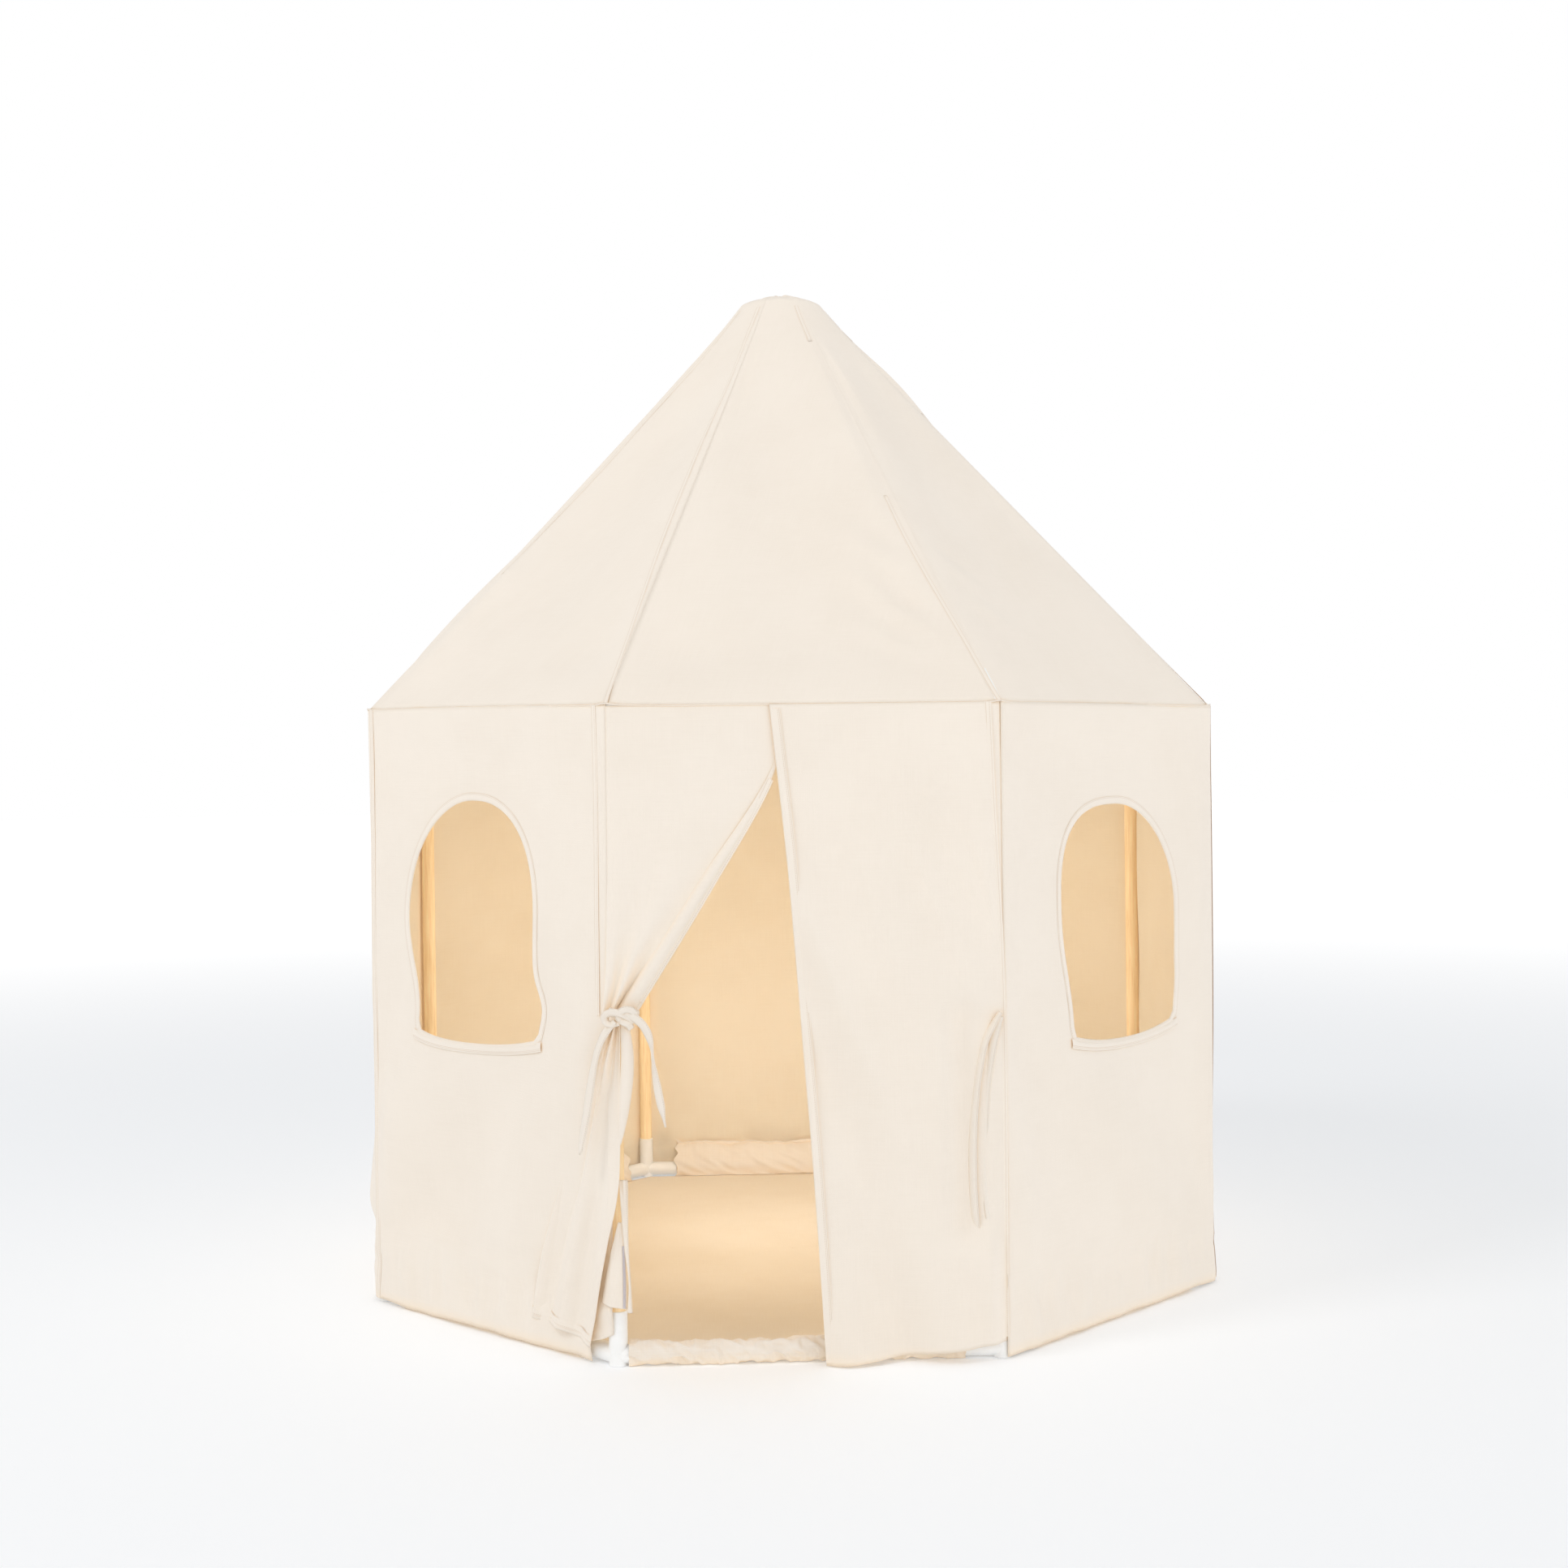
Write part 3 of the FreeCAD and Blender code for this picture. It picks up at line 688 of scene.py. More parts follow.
def build_roof_seams(roof):
    """Each gore's seam wanders beside its rafter, up to the crown, pressed onto the cloth."""
    for gore in range(8):
        wander = SEAM_OFFSETS[gore]
        points = []
        for k in range(110):
            v = 0.004 + 0.855 * k / 109
            wide = 2 * roof_profile(v)[0] * math.tan(HALF)
            drift = wander * math.sin(math.pi * min(v / 0.95, 1)) ** 0.7 + 0.003 * rough(v * 5, gore, 0)
            f = abs(drift) / wide
            above = roof_point(gore, f, v) if wander > 0 else roof_point((gore - 1) % 8, 1 - f, v)
            _, place, normal, _ = roof.closest_point_on_mesh(above)
            if not points or place.z > points[-1][0].z + 0.002:
                points.append((place, normal))

        def across(k, pts=points):
            run = pts[min(k + 1, len(pts) - 1)][0] - pts[max(k - 1, 0)][0]
            return run.normalized().cross(pts[k][1]).normalized()

        strip(f"roof_seam_{gore}", [place + normal * 0.0002 for place, normal in points], across, 0.0075, SEAM,
              lambda k, pts=points: pts[k][1])


def build_eave_roll():
    """Where roof and walls are sewn together: a small rolled edge, standing up over each corner."""
    steps, ring = 640, 8

    def place(i, j):
        s = i / steps * 8 * SIDE
        point, normal = plan(s)
        f = side_fraction(s)
        bump = 0.0022 * (bell(f, 0, 0.02) + bell(f, 1, 0.02))
        waver = rough(s * 9, 0, 0, 7.0) * 0.0008
        angle = j / ring * 2 * math.pi
        r = 0.0012 + 0.0003 * rough(s * 40, 0, 0, 9.0)
        point = point + normal * (0.0003 + bump + r * math.cos(angle))
        point.z = WALL_TOP
        point = raise_eave(point)
        point.z += waver + bump + r * math.sin(angle) - 0.0006
        return point, (angle / (2 * math.pi) * 0.012, s)

    made = grid("eave_seam", steps, ring, place, [SEAM], thick=None)


# Door

RIGHT_EDGE = [(0.0, 0.0195), (0.317, 0.0012), (0.704, -0.0273), (0.903, -0.0470)]
RIGHT_FOOT_Z = (0.0012, 0.0240)      # its hem climbs towards the corner and shows the fitting


def front(x):
    """Point and outward normal on the door's side at x; both follow the rounded corners."""
    return plan(x - CORNER_X)


def right_wrinkle(u, x, z):
    """Soft folds that fall across the flap from the top of the slit."""
    slant = x * 0.93 + z * 0.36
    clear = smooth(0.0, 0.10, 1 - u) * smooth(0, 0.10, WALL_TOP - z)
    by_ties = 1 - 0.8 * smooth(0.175, 0.215, x) * smooth(0.14, 0.20, z) * smooth(0.52, 0.46, z)
    fold = (rough(slant * 13, (z - x) * 1.3, 0, 31.0) + 0.25) * 0.0330 * smooth(0.88, 0.62, z)
    broad = (rough(x * 5, z * 2.6, 0, 17.0) + 0.2) * 0.0100
    foot = (rough(x * 15, z * 4, 0, 5.0) + 0.2) * 0.0070 * smooth(0.12, 0.0, z)
    edge = 0.0010 * bell(u, 0.0, 0.04)
    hem = 0.0006 * smooth(0.050, 0.038, u)
    return max((fold + broad + foot) * clear * by_ties, 0.0) + edge + hem


def right_foot(u):
    low, high = RIGHT_FOOT_Z
    return mix(low, high, u ** 1.3) + 0.0015 * rough(u * 9, 0, 0, 2.5) * u


def right_point(u, z):
    x = mix(curve(z, RIGHT_EDGE), CORNER_X, u)
    over = (FLAP_OUT - WALL_OUT) * smooth(1.0, 0.93, u)
    return standing(front(x), over + right_wrinkle(u, x, z), z), x


def build_right_flap():
    across, down = 110, 150

    def place(i, j):
        u = i / across
        z = mix(WALL_TOP, right_foot(u), j / down)
        point, x = right_point(u, z)
        return point, (x, z)

    made = grid("right_door_flap", across, down, place, [OUTSIDE, INSIDE], body=None)
    face_outwards(made)
    bake_modifiers(made)
    fold_at_crease(made)
    declare_sheet(["door_right_upper", "door_right_corner"])


def bake_modifiers(made):
    """Applies what is on the piece."""
    graph = bpy.context.evaluated_depsgraph_get()
    data = bpy.data.meshes.new_from_object(made.evaluated_get(graph))
    made.modifiers.clear()
    made.data = data


def fold_at_crease(made):
    """Finds the right flap's fold line and the side of it where the free corner lies, then bakes the piece's
    transform into its mesh.
    """
    joint = next(j for j in frame["joints"] if j["name"] == "right_flap_fold")
    axis = Vector(joint["axis"]).normalized()
    middle = Vector(joint["pos_m"])
    away = axis.cross(Vector((0, 1, 0))).normalized()
    if away.x > 0:
        away = -away
    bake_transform(made)


def right_flap_line(name, u_of_z, low, high, width, material, foldable):
    """A sewn line or hem down the right flap: u_of_z(z) is its place across the flap."""
    heights = [mix(low, high, k / 140) for k in range(141)]
    points = [right_point(u_of_z(z), z)[0] + Vector((0, -0.0003, 0)) for z in heights]
    made = strip(name, points, lambda k: Vector((1, 0, 0)), width, material, lambda k: Vector((0, -1, 0)),
                 body=None if foldable else TENT)
    if foldable:
        fold_at_crease(made)


def build_right_lines():
    right_flap_line("right_flap_hem", lambda z: 0.024, 0.006, 0.896, 0.0125, HEM, True)
    seam_place = [(0.020, 0.992), (0.500, 0.992), (0.780, 0.955), (0.902, 0.944)]
    right_flap_line("door_seam_right", lambda z: curve(z, seam_place), 0.030, WALL_TOP, 0.009, SEAM, False)


# Left flap: (height, x) of its free edge, and of the outer side of the band that is turned back along it
LEFT_INNER = [(0.480, -0.2340), (0.655, -0.1250), (0.816, -0.0385), (0.902, -0.0330)]
LEFT_OUTER = [(0.480, -0.2660), (0.555, -0.2175), (0.655, -0.1510), (0.816, -0.0440), (0.902, -0.0350)]
LEFT_LOW = 0.4795


def left_bulge(z):
    """How far the turned-back band stands out. It lies flat where the right flap covers it."""
    return 0.0150 * smooth(0.835, 0.56, z)


def left_panel(t, z):
    """The flap between its seam and the band: gathered towards the tie at its foot."""
    outer = curve(z, LEFT_OUTER)
    x = mix(-CORNER_X - 0.006, outer + 0.004, t)
    gather = smooth(0.70, 0.49, z)
    soft = smooth(0, 0.12, t)
    out = (rough(x * 6, z * 3, 0, 40.0) + 0.3) * 0.0050 * soft * smooth(WALL_TOP, WALL_TOP - 0.1, z)
    slant = (x - outer) * 1.0 + (z - 0.48) * 0.42
    out += max(rough(slant * 15, z * 2, 0, 12.0), 0) * 0.0120 * smooth(0.86, 0.62, z) * soft
    out += 0.0080 * gather * math.sin(t * math.pi * 2.2 + 0.5) ** 2 * soft
    out -= left_bulge(z) * 0.40 * bell(t, 1.0, 0.16)
    out -= 0.0016 * smooth(0.03, 0.0, t)
    return standing(front(x), out, z)


def left_band(q, z):
    """The band: a soft half-roll from the valley (q 0) over to the free edge (q 1), turned under there."""
    inner, outer = curve(z, LEFT_INNER), curve(z, LEFT_OUTER)
    bulge = left_bulge(z)
    x = mix(outer, inner, smooth(0, 1, q) * 0.35 + q * 0.65)
    out = bulge * (1.05 * math.sin(math.pi * min(0.10 + 0.82 * q, 1)) - 0.30)
    out += 0.0020 * rough(q * 1.5, z * 7, 0, 13.0) * smooth(0.8, 0.6, z)
    out -= 0.0014 * bell(q, 0.80, 0.05) * smooth(0.80, 0.72, z)
    return Vector((x, -(WALL_OUT + out), z))


def build_left_flap():
    across, down = 130, 150
    panel_columns = 76

    def place(i, j):
        z = mix(WALL_TOP, LEFT_LOW, j / down)
        if i <= panel_columns:
            point = left_panel(i / panel_columns, z)
        else:
            point = left_band((i - panel_columns) / (across - panel_columns), z)
        return point, (point.x + max(i - panel_columns, 0) * 0.0004, z)

    made = grid("left_door_flap", across, down, place, [OUTSIDE, INSIDE])
    face_outwards(made)
    declare_sheet(["door_left_upper"])
    points = [left_band(0.78, mix(0.500, 0.800, k / 120)) + Vector((0, -0.0006, 0)) for k in range(121)]
    strip("left_flap_hem", points, lambda k: Vector((0.86, 0.02, -0.5)), 0.0085, SEAM,
          lambda k: Vector((0.2, -1, 0)))


# The left flap's tail, in a plan of its own: q is along the wall beside the door, and negative in front

def corner_point(q, out, z):
    """Point at distance q past the door's left corner (negative is in front of the door), and out from the cloth."""
    corner = Vector((-CORNER_X, -WALL_OUT, 0))
    diag = math.sqrt(0.5)
    wall_way, wall_normal = Vector((-diag, diag, 0)), Vector((-diag, -diag, 0))
    front_way, front_normal = Vector((1, 0, 0)), Vector((0, -1, 0))
    blend_r = 0.016
    t = smooth(-blend_r, blend_r, q)
    normal = front_normal.lerp(wall_normal, t).normalized()
    return standing((corner + (wall_way * q if q > 0 else front_way * -q), normal), out, z)


TAIL_LEFT = [(0.040, 0.166), (0.166, 0.128), (0.394, 0.026), (0.476, -0.006)]
TAIL_RIGHT = [(0.024, 0.034), (0.080, 0.0175), (0.193, -0.0035), (0.267, -0.0125), (0.476, -0.0145)]
TAIL_TOP = 0.4735


def tail_point(u, v):
    """The fall of cloth below the tie: a few deep folds that open out towards its hem."""
    foot = mix(0.046, 0.026, u) + 0.003 * rough(u * 5, 0, 0, 1.0)
    z = mix(TAIL_TOP, foot, v)
    q = mix(curve(z, TAIL_LEFT), curve(z, TAIL_RIGHT), u)
    spread = smooth(0.47, 0.20, z)
    wave = u * 2.1 + 0.30 * rough(z * 3, 0, 0, 6.0) + 0.12 * spread
    fold = 0.5 + 0.5 * math.sin(2 * math.pi * wave + 0.6)
    narrow = 0.5 + 0.5 * math.sin(2 * math.pi * u * 3.6 + 2.0)
    out = 0.0050 + mix(0.0070, 0.0085, spread) * fold ** 1.3
    out += 0.0040 * narrow * smooth(0.32, 0.46, z)
    out += 0.0024 * rough(u * 6, z * 9, 0, 14.0)
    out += 0.0020 * smooth(0.93, 1.0, u)
    out -= 0.0050 * smooth(0.06, 0.0, u)
    return corner_point(q, max(out, 0.0016), z)


def build_tail():
    across, down = 110, 150

    def place(i, j):
        u, v = i / across, j / down
        return tail_point(u, v), (u * mix(0.05, 0.17, v), v * 0.44)

    made = grid("left_flap_fall", across, down, place, [OUTSIDE, INSIDE], body=TAIL)
    face_outwards(made)
    declare_sheet(["door_left_tail"])
    line = [tail_point(k / 80, 0.975) + Vector((-0.0002, -0.0003, 0)) for k in range(81)]
    strip("left_flap_fall_hem", line, lambda k: Vector((0, 0, -1)), 0.011, HEM,
          lambda k: Vector((-0.5, -0.86, 0)), body=TAIL)


def build_pleat():
    """One fold stands apart at the flap's free edge: it leaves the knot, swells and tucks in again below."""
    path = [(0.306, -0.2570), (0.372, -0.2490), (0.425, -0.2455), (0.474, -0.2490)]
    across, down = 22, 90

    def place(i, j):
        t, v = i / across, j / down
        z = mix(TAIL_TOP, 0.306, v)
        middle = curve(z, path)
        half = 0.0085 * math.sin(math.pi * min(0.16 + v * 0.84, 1)) ** 0.7 + 0.0006
        turn = mix(-0.15, 1.10, t) * math.pi
        out = 0.0125 + half * 0.85 * math.sin(turn)
        return Vector((middle - half * math.cos(turn), -(WALL_OUT + out), z)), (t * 0.03, z)

    made = grid("left_flap_pleat", across, down, place, [OUTSIDE, INSIDE], body=TAIL)
    face_outwards(made)
    declare_sheet([])


# The flap's free edge by the post: two leaves that part downwards. Each row is (height, left x, right x).
LEAF_LEFT = [(0.081, -0.2880, -0.2505), (0.130, -0.2765, -0.2512), (0.200, -0.2610, -0.2545)]
LEAF_RIGHT = [(0.077, -0.2500, -0.2430), (0.121, -0.2484, -0.2450), (0.169, -0.2539, -0.2474),
              (0.258, -0.2593, -0.2478)]


def leaf_point(rows, t, z, base):
    x = mix(curve(z, [(row[0], row[1]) for row in rows]), curve(z, [(row[0], row[2]) for row in rows]), t)
    low, high = rows[0][0], rows[-1][0]
    out = base + 0.0022 * smooth(high, low, z) * math.sin(math.pi * t) + 0.0010 * rough(t * 3, z * 28, 0, 3.0)
    return corner_point(-(x + CORNER_X), out, z)


def build_edge_leaves():
    across, down = 24, 70
    for name, rows, base, slope, cloth in (("edge_leaf_left", LEAF_LEFT, 0.0060, 0.007, OUTSIDE),
                                           ("edge_leaf_right", LEAF_RIGHT, 0.0085, 0.0, HEM)):
        def place(i, j, rows=rows, base=base, slope=slope):
            t = i / across
            z = mix(rows[-1][0], rows[0][0] + slope * (1 - t), j / down)
            return leaf_point(rows, t, z, base), (t * 0.012, z)

        leaf = grid(name, across, down, place, [cloth, INSIDE], body=TAIL)
        face_outwards(leaf)
        declare_sheet([])
    points = [leaf_point(LEAF_LEFT, 0.90, mix(0.083, 0.168, k / 50), 0.0062) + Vector((0, -0.0008, 0))
              for k in range(51)]
    fuzz = strip("edge_closure_tape", points, lambda k: Vector((1, 0, 0)), 0.0038, FUZZ,
                 lambda k: Vector((0, -1, 0)), lift=0.0008, body=TAIL)
    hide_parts("closure_tape_left")


def build_right_closure():
    """Hook-and-loop tape inside the right flap's free edge."""
    low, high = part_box("closure_tape_right")
    points = [Vector(((low[0] + high[0]) / 2, high[1] - 0.0002, mix(low[2], high[2], k / 50))) for k in range(51)]
    made = strip("right_closure_fuzz", points, lambda k: Vector((1, 0, 0)), high[0] - low[0], FUZZ,
                 lambda k: Vector((0, 1, 0)), lift=0.0010, body=CORNER)
    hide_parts("closure_tape_right")


# Base sleeves and floor

def build_front_sleeve():
    """Gathered sleeve on the door's base rail: deep, uneven ruffles, ragged at the right end."""
    steps, ring = 520, 48
    left, right = SLEEVE_LOW[0] + 0.0005, SLEEVE_HIGH[0] + 0.012

    def place(i, j):
        angle = j / ring * 2 * math.pi
        x = mix(left, right + 0.006 * rough(angle * 1.2, 3, 0), i / steps)
        top, ahead = math.sin(angle), -math.cos(angle)
        slant = x + 0.010 * top + 0.004 * rough(x * 30, top, 0, 4.0)
        ruffle = 1 - min(abs(rough(slant * 40, ahead * 0.9, top * 0.8, 71.0)) * 3.2, 1)
        deep = rough(slant * 17, ahead * 0.6, top * 0.5, 23.0) + 0.12
        fine = rough(slant * 120, ahead * 2, top * 2, 8.0)
        r = 0.0128 + 0.0042 * ruffle + 0.0110 * max(deep, 0) + 0.0016 * fine + 0.0012 * max(top, 0)
        r = min(r, 0.0198)
        r += 0.0030 * bell(x, left + 0.004, 0.010) * max(rough(angle * 3, 0, 0, 8.0), 0)
        y = -POST_Y - r * math.cos(angle)
        z = RAIL_Z + r * math.sin(angle)
        if x > 0.005:
            y = max(y, -(FLAP_OUT - 0.0022))
        return Vector((x, y, max(z, 0.0006))), (angle * 0.014, x)

    made = grid("front_sleeve_gathers", steps, ring, place, [SLEEVE], thick=None)
    declare_sheet(["front_base_sleeve"])


CHANNEL_START = 0.064       # from each corner, just over the end of the fitting's arm


def build_hem_sleeves():
    """Inside, each wall's hem wraps its base rail as a loose, creased channel with a ragged, paler top edge."""
    channels = channel_rows(200, 30, channel_point, "hem_channels", SLEEVE)
    declare_sheet(["hem_sleeves"])
    edges = channel_rows(200, 3, channel_edge, "hem_channel_edges", OUTSIDE)


def channel_top(s, side):
    return 0.060 + 0.006 * rough(s * 20, 0, side, 61.0) + 0.003 * rough(s * 70, 0, side, 3.0)


def channel_point(s, w, side):
    """Round the channel from its top edge on the wall (w 0), over the rail and down to the ground (w 1)."""
    crease = rough(s * 46 + w * 4, w * 3, side, 33.0)
    pucker = rough(s * 16, w * 2, side, 12.0)
    swell = math.sin(min(w * 1.5, 1) * math.pi / 2) ** 0.8
    inward = 0.0020 + (0.0300 + 0.0046 * pucker + 0.0034 * crease) * swell
    z = mix(channel_top(s, side), 0.0016, smooth(0, 1, w) * 0.4 + w * 0.6) + 0.0018 * crease * swell
    return inward, max(z, 0.0016)


def channel_edge(s, w, side):
    tall = 0.005 + 0.010 * max(rough(s * 26, 0, side, 19.0) + 0.25, 0)
    return 0.0042 + 0.0010 * w, channel_top(s, side) - 0.002 + tall * w


def channel_rows(steps, ring, shape, name, cloth):
    points, faces, uvs = [], [], []
    for side in range(7):
        base = len(points)
        for i in range(steps + 1):
            for j in range(ring + 1):
                start = CHANNEL_START + 0.010 * rough(j / ring * 5, side, 0, 4.0)
                s = side * SIDE + mix(start, SIDE - start, i / steps)
                inward, z = shape(s, j / ring, side)
                points.append(standing(plan(s), -inward, z))
                uvs.append((j / ring * 0.075, s))
        for i in range(steps):
            for j in range(ring):
                a = base + i * (ring + 1) + j
                faces.append((a, a + 1, a + ring + 2, a + ring + 1))
    return finish_sheet(mesh_object(name, points, faces, uvs, [cloth]), 0.0008, 0.0)


def build_floor_sheet():
    rings, spokes = 70, 192

    def place(i, j):
        angle = i / spokes * 2 * math.pi
        lean = (angle + HALF) % (math.pi / 4) - HALF
        reach = FLOOR_R / math.cos(lean) * j / rings
        x, y = reach * math.cos(angle), reach * math.sin(angle)
        lift = abs(rough(x * 3.2, y * 3.2, 0, 91.0)) * 0.0030 + abs(rough((x + y) * 7, y * 2, 0, 19.0)) * 0.0012
        edge = smooth(1.0, 0.93, j / rings)
        return Vector((x, y, 0.0014 + lift * edge)), (x, y)

    made = grid("floor_cloth", spokes, rings, place, [FLOOR])
    face_outwards(made)
    declare_sheet(["floor_sheet"])


# Ties. Each route repeats the CAD's, in metres: (along, height) in an upright plane.

TAPE_W = 0.012
LEFT_START = (-0.256, -0.678)
DRAPE_WAY = math.radians(168.0)
ROUTES = {
    "tie_left_long": (LEFT_START, DRAPE_WAY,
                      [(0.005, 0.476), (0.015, 0.466), (0.024, 0.452), (0.031, 0.434), (0.036, 0.412),
                       (0.041, 0.384), (0.046, 0.352), (0.052, 0.323), (0.0565, 0.295)]),
    "tie_left_short": (LEFT_START, 0.0,
                       [(0.008, 0.488), (0.021, 0.4815), (0.0325, 0.4715), (0.040, 0.458), (0.044, 0.441),
                        (0.046, 0.419), (0.050, 0.391), (0.0555, 0.361), (0.0615, 0.332)]),
    "tie_right_long": ((0.266, -0.6608), 0.0,
                       [(-0.002, 0.478), (-0.012, 0.462), (-0.024, 0.440), (-0.032, 0.404), (-0.038, 0.364),
                        (-0.042, 0.318), (-0.043, 0.268), (-0.042, 0.216), (-0.038, 0.170)]),
    "tie_right_short": ((0.266, -0.6576), 0.0,
                        [(-0.001, 0.472), (-0.008, 0.453), (-0.015, 0.426), (-0.021, 0.390), (-0.025, 0.348),
                         (-0.027, 0.300), (-0.026, 0.252), (-0.022, 0.208), (-0.017, 0.172)])}
TAPE_BODIES = {"tie_left_long": TAIL}
# How far each tape is turned about its own line, at (share of its length, radians), and its pointed tip's share
TAPE_TURNS = {
    "tie_left_long": ([(0.0, 0.25), (0.30, 0.55), (0.60, 0.25), (1.0, 0.75)], 0.05),
    "tie_left_short": ([(0.0, 0.10), (0.25, 0.35), (0.42, 1.25), (0.72, 0.35), (1.0, 0.75)], 0.20),
    "tie_right_long": ([(0.0, 0.80), (0.35, 0.50), (0.70, 0.25), (1.0, 0.55)], 0.04),
    "tie_right_short": ([(0.0, -0.35), (0.30, 0.25), (0.65, 0.05), (1.0, -0.45)], 0.04)}


def nurbs_line(name, points):
    """Points along one NURBS spline through given control points."""
    data = bpy.data.curves.new(name, "CURVE")
    data.dimensions = "3D"
    data.resolution_u = 12
    spline = data.splines.new("NURBS")
    spline.points.add(len(points) - 1)
    for made, point in zip(spline.points, points):
        made.co = (*point, 1)
    spline.order_u = 3
    spline.use_endpoint_u = True
    guide = linked(name, data)
    bpy.context.view_layer.update()
    line = bpy.data.meshes.new_from_object(guide)
    found = [vertex.co.copy() for vertex in line.vertices]
    bpy.data.objects.remove(guide)
    bpy.data.meshes.remove(line)
    return found


def across_line(line, k, normal, turn):
    """(across, ahead) at point k: across is square to the run and its normal, then turned about the run."""
    ahead = (line[min(k + 1, len(line) - 1)] - line[max(k - 1, 0)]).normalized()
    return Matrix.Rotation(turn, 3, ahead) @ ahead.cross(normal).normalized(), ahead


def ribbon(name, line, normal, turns, tip, body, rows=6):
    """A soft flat tape along a line, turned about it, cupped a little, and narrow at its tip."""
    lengths = lengths_along(line)

    def place(i, k):
        t, f = i / rows, lengths[k] / lengths[-1]
        side, ahead = across_line(line, k, normal, curve(f, turns) + 0.10 * rough(f * 5, 0, 0, len(name)))
        face = side.cross(ahead).normalized()
        wide = TAPE_W * (1 - 0.10 * abs(rough(f * 7, 0, 0, 3.0)) - 0.30 * bell(f, 0.0, 0.06))
        wide *= mix(1.0, 0.25, smooth(1 - tip, 1.0, f))
        cup = 0.0014 * (1 - (2 * t - 1) ** 2)
        return line[k] + side * ((t - 0.5) * wide) + face * cup, (t * TAPE_W, lengths[k])

    return grid(name, rows, len(line) - 1, place, [TAPE, TAPE], thick=0.0008, offset=0.0, body=body)


def build_ties():
    for name, (start, way, route) in ROUTES.items():
        along = Vector((math.cos(way), math.sin(way), 0))
        points = [Vector((start[0], start[1], 0)) + along * h + Vector((0, 0, z)) for h, z in route]
        line = nurbs_line(name + "_guide", points)
        normal = along.cross(Vector((0, 0, 1))).normalized()
        if normal.y > 0:
            normal = -normal
        turns, tip = TAPE_TURNS[name]
        made = ribbon(name + "_tape", line, normal, turns, tip, TAPE_BODIES.get(name, TENT))
        length = lengths_along(line)[-1]
        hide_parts(name)
        tuple(points[0])
        [tuple(p) for p in line]


def loop_band(name, points, width, normal_of, turn=0.0, rows=6):
    """A band of tape along a given line, its flat side given by normal_of(point)."""
    line = nurbs_line(name + "_guide", points)
    lengths = lengths_along(line)

    def place(i, k):
        t = i / rows
        face = normal_of(line[k])
        side, _ = across_line(line, k, face, turn * lengths[k] / lengths[-1])
        cup = 0.0012 * (1 - (2 * t - 1) ** 2)
        return line[k] + side * ((t - 0.5) * width) + face * cup, (t * TAPE_W, lengths[k])

    made = grid(name, rows, len(line) - 1, place, [TAPE, TAPE], thick=0.0011, offset=0.0)
    return made


def build_knot():
    """The tie wound round the flap's neck and knotted in front, with one loop pulled out to the left."""
    low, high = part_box("tie_left_knot")
    middle = (Vector(low) + Vector(high)) / 2
    face_y = low[1] - 0.0012

    def from_middle(p):
        flat = Vector((p.x - middle.x, (p.y - middle.y) * 1.6, 0))
        return flat.normalized() if flat.length > 1e-5 else Vector((0, -1, 0))

    def forwards(p):
        return Vector((0.1, -1, 0.1)).normalized()

    def ring(rx, ry, z, tilt, turns=14):
        turned = [k / turns * 2 * math.pi + 0.4 for k in range(turns + 1)]
        return [Vector((middle.x + rx * math.cos(a), middle.y + ry * math.sin(a), z + tilt * rx * math.cos(a)))
                for a in turned]

    def in_front(route):
        """Points (along, forwards, up) from the knot's middle, in millimetres."""
        return [Vector((middle.x + (x + 4) / 1000, face_y - y / 1000, middle.z + z / 1000)) for x, y, z in route]

    neck = loop_band("tie_knot", ring(0.0195, 0.0086, middle.z - 0.003, 0.14), 0.0120, from_middle)
    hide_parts("tie_left_knot")
    loop_band("tie_knot_wrap", ring(0.0200, 0.0092, middle.z + 0.0055, -0.10), 0.0070, from_middle)
    bands = {
        "tie_knot_over": ([(-9, 0.5, -6), (-13, 2.5, 1), (-8, 5, 8), (0, 6, 11), (8, 5, 8.5), (13, 2.5, 1.5),
                           (12, 0, -6)], 0.0092, 0.0),
        "tie_knot_cross": ([(-22, -1, 4), (-13, 2, 4.5), (-4, 3, 2), (4, 2, -2), (9, 0, -9)], 0.0086, 0.3),
        "tie_knot_tuck": ([(-9, 0.5, -5), (-3, 2.5, -8), (4, 2, -11), (6, -1, -17)], 0.0096, -0.3),
        "tie_loop_left": ([(-3, 2, 2), (-13, 5, 6), (-23, 5, 7), (-31, 3, 2), (-30, 1.5, -7), (-22, 1, -11),
                           (-11, 0.5, -8)], 0.0096, -0.5)}
    for name, (route, width, turn) in bands.items():
        loop_band(name, in_front(route), width, forwards, turn)


# Frame: the CAD's own dowels and fittings, with their materials

def dress_frame():
    for name, made in frame["nodes"].items():
        if name.startswith(("post_", "rafter_")):
            material = WOOD_UP
        elif name.endswith("_rails"):
            material = WOOD_ACROSS
        elif name.startswith(("base_corner_", "eave_corner_")) or name == "crown_hub":
            material = PLASTIC
        else:
            continue
        made.data.materials.clear()
        made.data.materials.append(material)


# Studio

def build_world(scene):
    """A white studio: bright all round at eye level, softer overhead."""
    world = bpy.data.worlds.new("studio")
    scene.world = world
    world.use_nodes = True
    tree = world.node_tree
    link = tree.links.new
    split = node(tree, "ShaderNodeSeparateXYZ")
    link(node(tree, "ShaderNodeTexCoord").outputs["Generated"], split.inputs[0])
    link(remap(tree, split.outputs["Z"], 0.42, 0.70, 1.0, 0.66), tree.nodes["Background"].inputs["Strength"])
    tree.nodes["Background"].inputs["Color"].default_value = (1.0, 1.0, 1.0, 1)


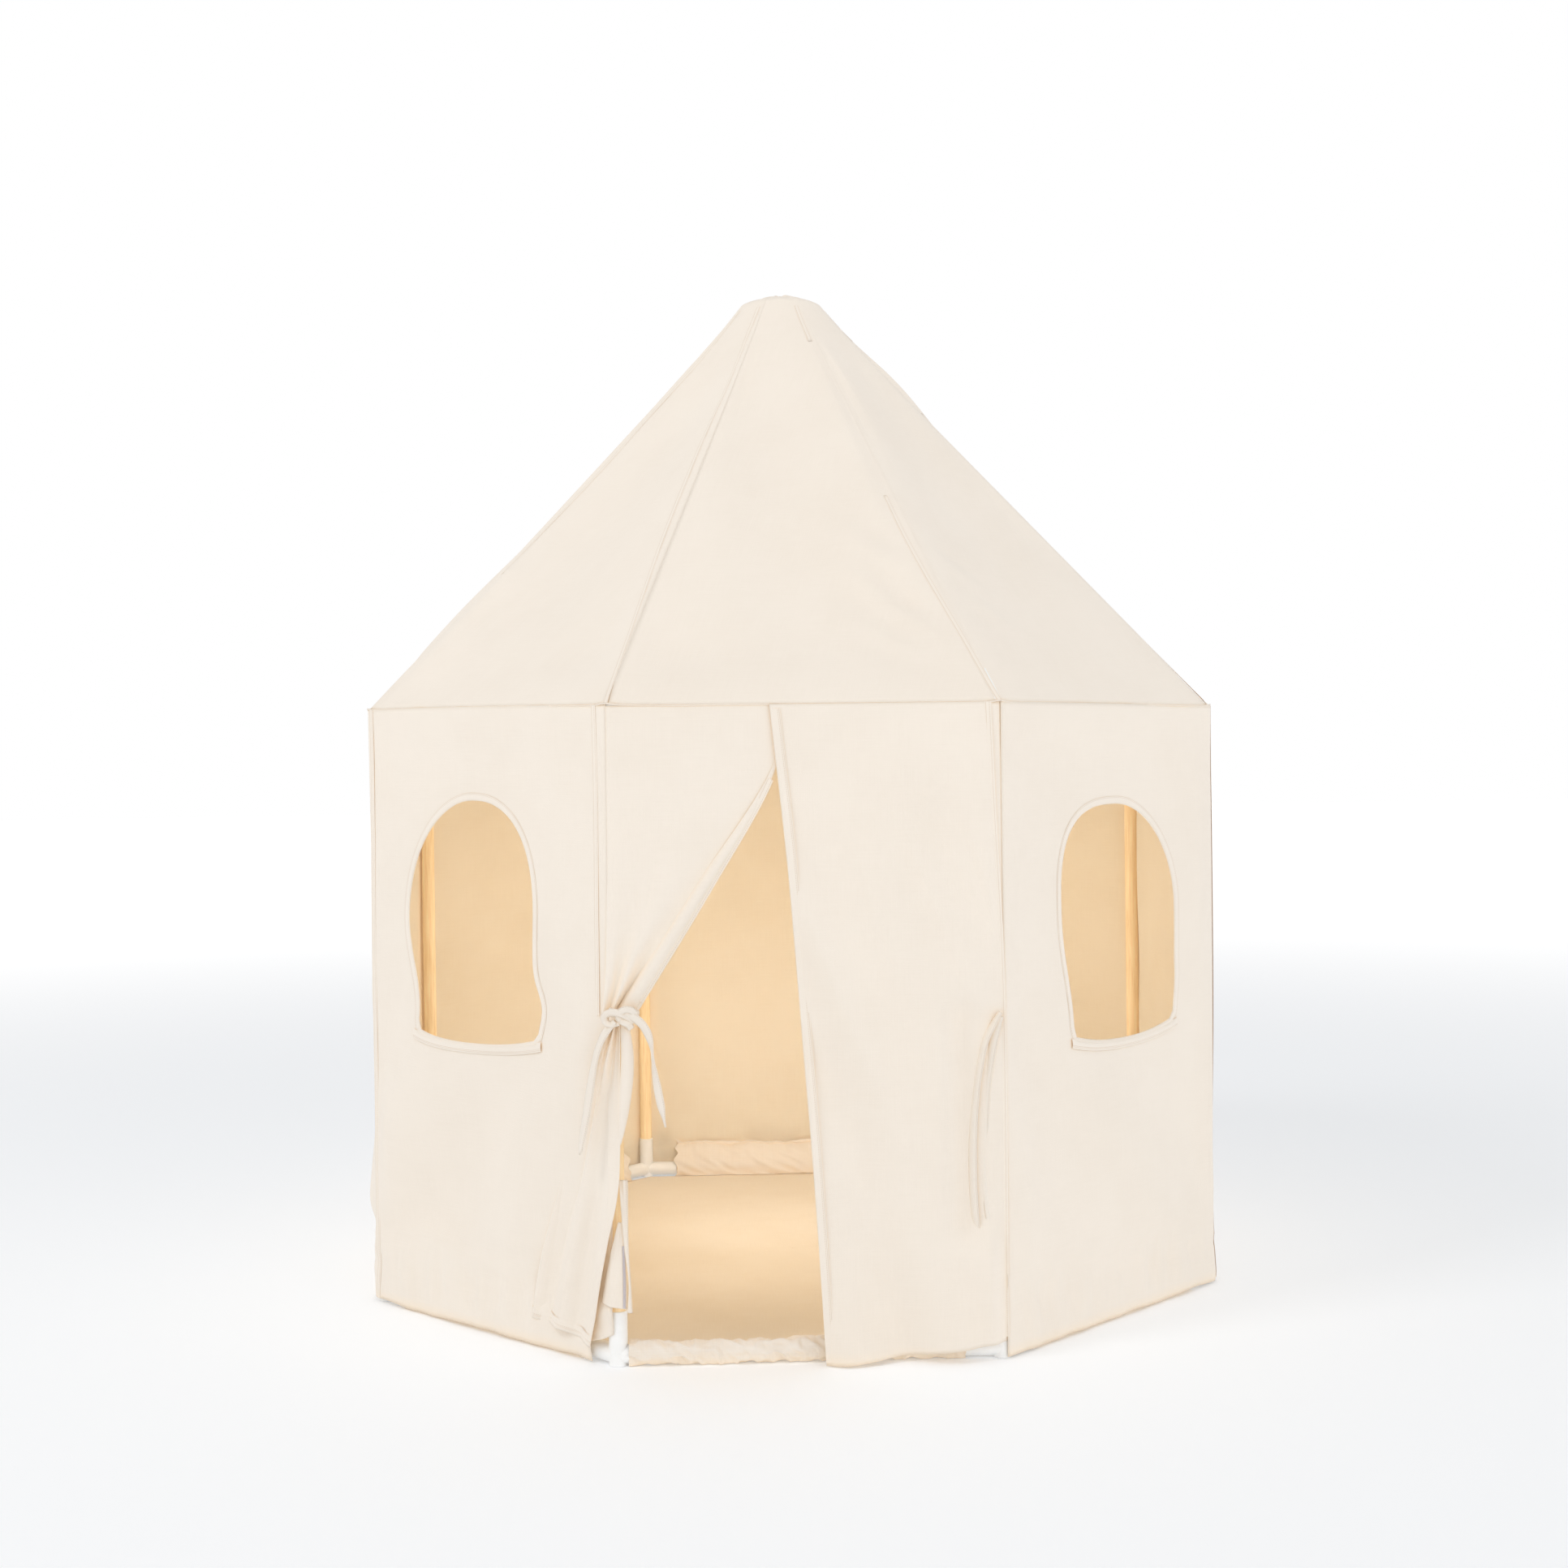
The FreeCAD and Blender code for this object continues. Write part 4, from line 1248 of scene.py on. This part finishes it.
def lamp(name, kind, place, power, colour):
    light = bpy.data.lights.new(name, kind)
    light.energy = power
    light.color = colour
    made = linked(name, light)
    made.location = place
    return light, made


def soft_light(name, place, target, size, power, colour=(1, 1, 1)):
    light, made = lamp(name, "AREA", place, power, colour)
    light.shape = "SQUARE"
    light.size = size
    made.rotation_euler = (Vector(target) - Vector(place)).to_track_quat("-Z", "Y").to_euler()


def inner_lamp(name, kind, place, power, colour):
    light, made = lamp(name, kind, place, power, colour)
    light.use_shadow = False
    made.visible_camera = False
    if kind == "AREA":
        light.size = 0.3
        light.spread = math.radians(95)
        made.rotation_euler = (math.radians(72), 0, 0)      # towards the back wall's foot
    else:
        light.shadow_soft_size = 0.22


def build_studio():
    scene = bpy.context.scene
    scene.view_settings.view_transform = "Standard"
    scene.view_settings.look = "None"
    build_world(scene)
    soft_light("key", (-3.1, -2.3, 4.3), (0, 0, 0.8), 1.2, 42, (1.0, 0.985, 0.96))
    soft_light("fill", (3.4, -3.6, 1.6), (0, 0, 0.7), 3.0, 24)

    # Two lamps stand in for the daylight that comes through the cloth, and a third for what comes in by the door
    for side in (-1, 1):
        inner_lamp("light_through_cloth", "POINT", (side * 0.17, 0.05, 0.55), 2.75, (1.0, 0.935, 0.86))
    inner_lamp("light_through_door", "AREA", (-0.05, -0.15, 0.33), 0.33, (0.87, 0.93, 1.0))

    floor, tree, shader = blank_material("studio_floor", 0.8)
    link = tree.links.new
    place = node(tree, "ShaderNodeTexCoord").outputs["Object"]
    distance = node(tree, "ShaderNodeVectorMath", operation="LENGTH")
    link(place, distance.inputs[0])
    fade = remap(tree, distance.outputs["Value"], 1.5, 8.0, 0.10, 1.0, interpolation_type="SMOOTHSTEP")
    link(ramp(tree, fade, (0.875, 0.895, 0.922), (0.0, 0.0, 0.0), (0.10, 1.0)), shader.inputs["Base Color"])
    link(fade, shader.inputs["Emission Strength"])
    shader.inputs["Emission Color"].default_value = (1, 1, 1, 1)
    size, low = 30.0, -0.0005
    data = bpy.data.meshes.new("studio_floor")
    data.from_pydata([(-size, -size, low), (size, -size, low), (size, size, low), (-size, size, low)], [],
                     [(0, 1, 2, 3)])
    data.materials.append(floor)
    ground = linked("studio_floor", data)


def build_camera():
    """Eye level just under the eaves, a touch left of the door, on a slightly short normal lens."""
    data = bpy.data.cameras.new("camera")
    data.sensor_width = 36.0
    data.lens = 46.9
    data.dof.use_dof = False
    made = linked("camera", data)
    made.location = (-0.1304, -3.4350, 0.8261)
    heading, pitch, roll = math.radians(2.11), math.radians(0.68), math.radians(0.72)
    ahead = Vector((math.sin(heading) * math.cos(pitch), math.cos(heading) * math.cos(pitch), -math.sin(pitch)))
    turned = ahead.to_track_quat("-Z", "Y").to_matrix().to_4x4() @ Matrix.Rotation(-roll, 4, "Z")
    made.matrix_world = Matrix.Translation(made.location) @ turned
    bpy.context.scene.camera = made


build_camera()
build_studio()
build_ties()
build_knot()
dress_frame()
build_walls()
build_wall_seams()
build_bindings()
canopy = build_roof()
bpy.context.view_layer.update()
build_roof_seams(canopy)
build_eave_roll()
build_right_flap()
build_right_lines()
build_right_closure()
build_left_flap()
build_tail()
build_pleat()
build_edge_leaves()
build_front_sleeve()
build_hem_sleeves()
build_floor_sheet()
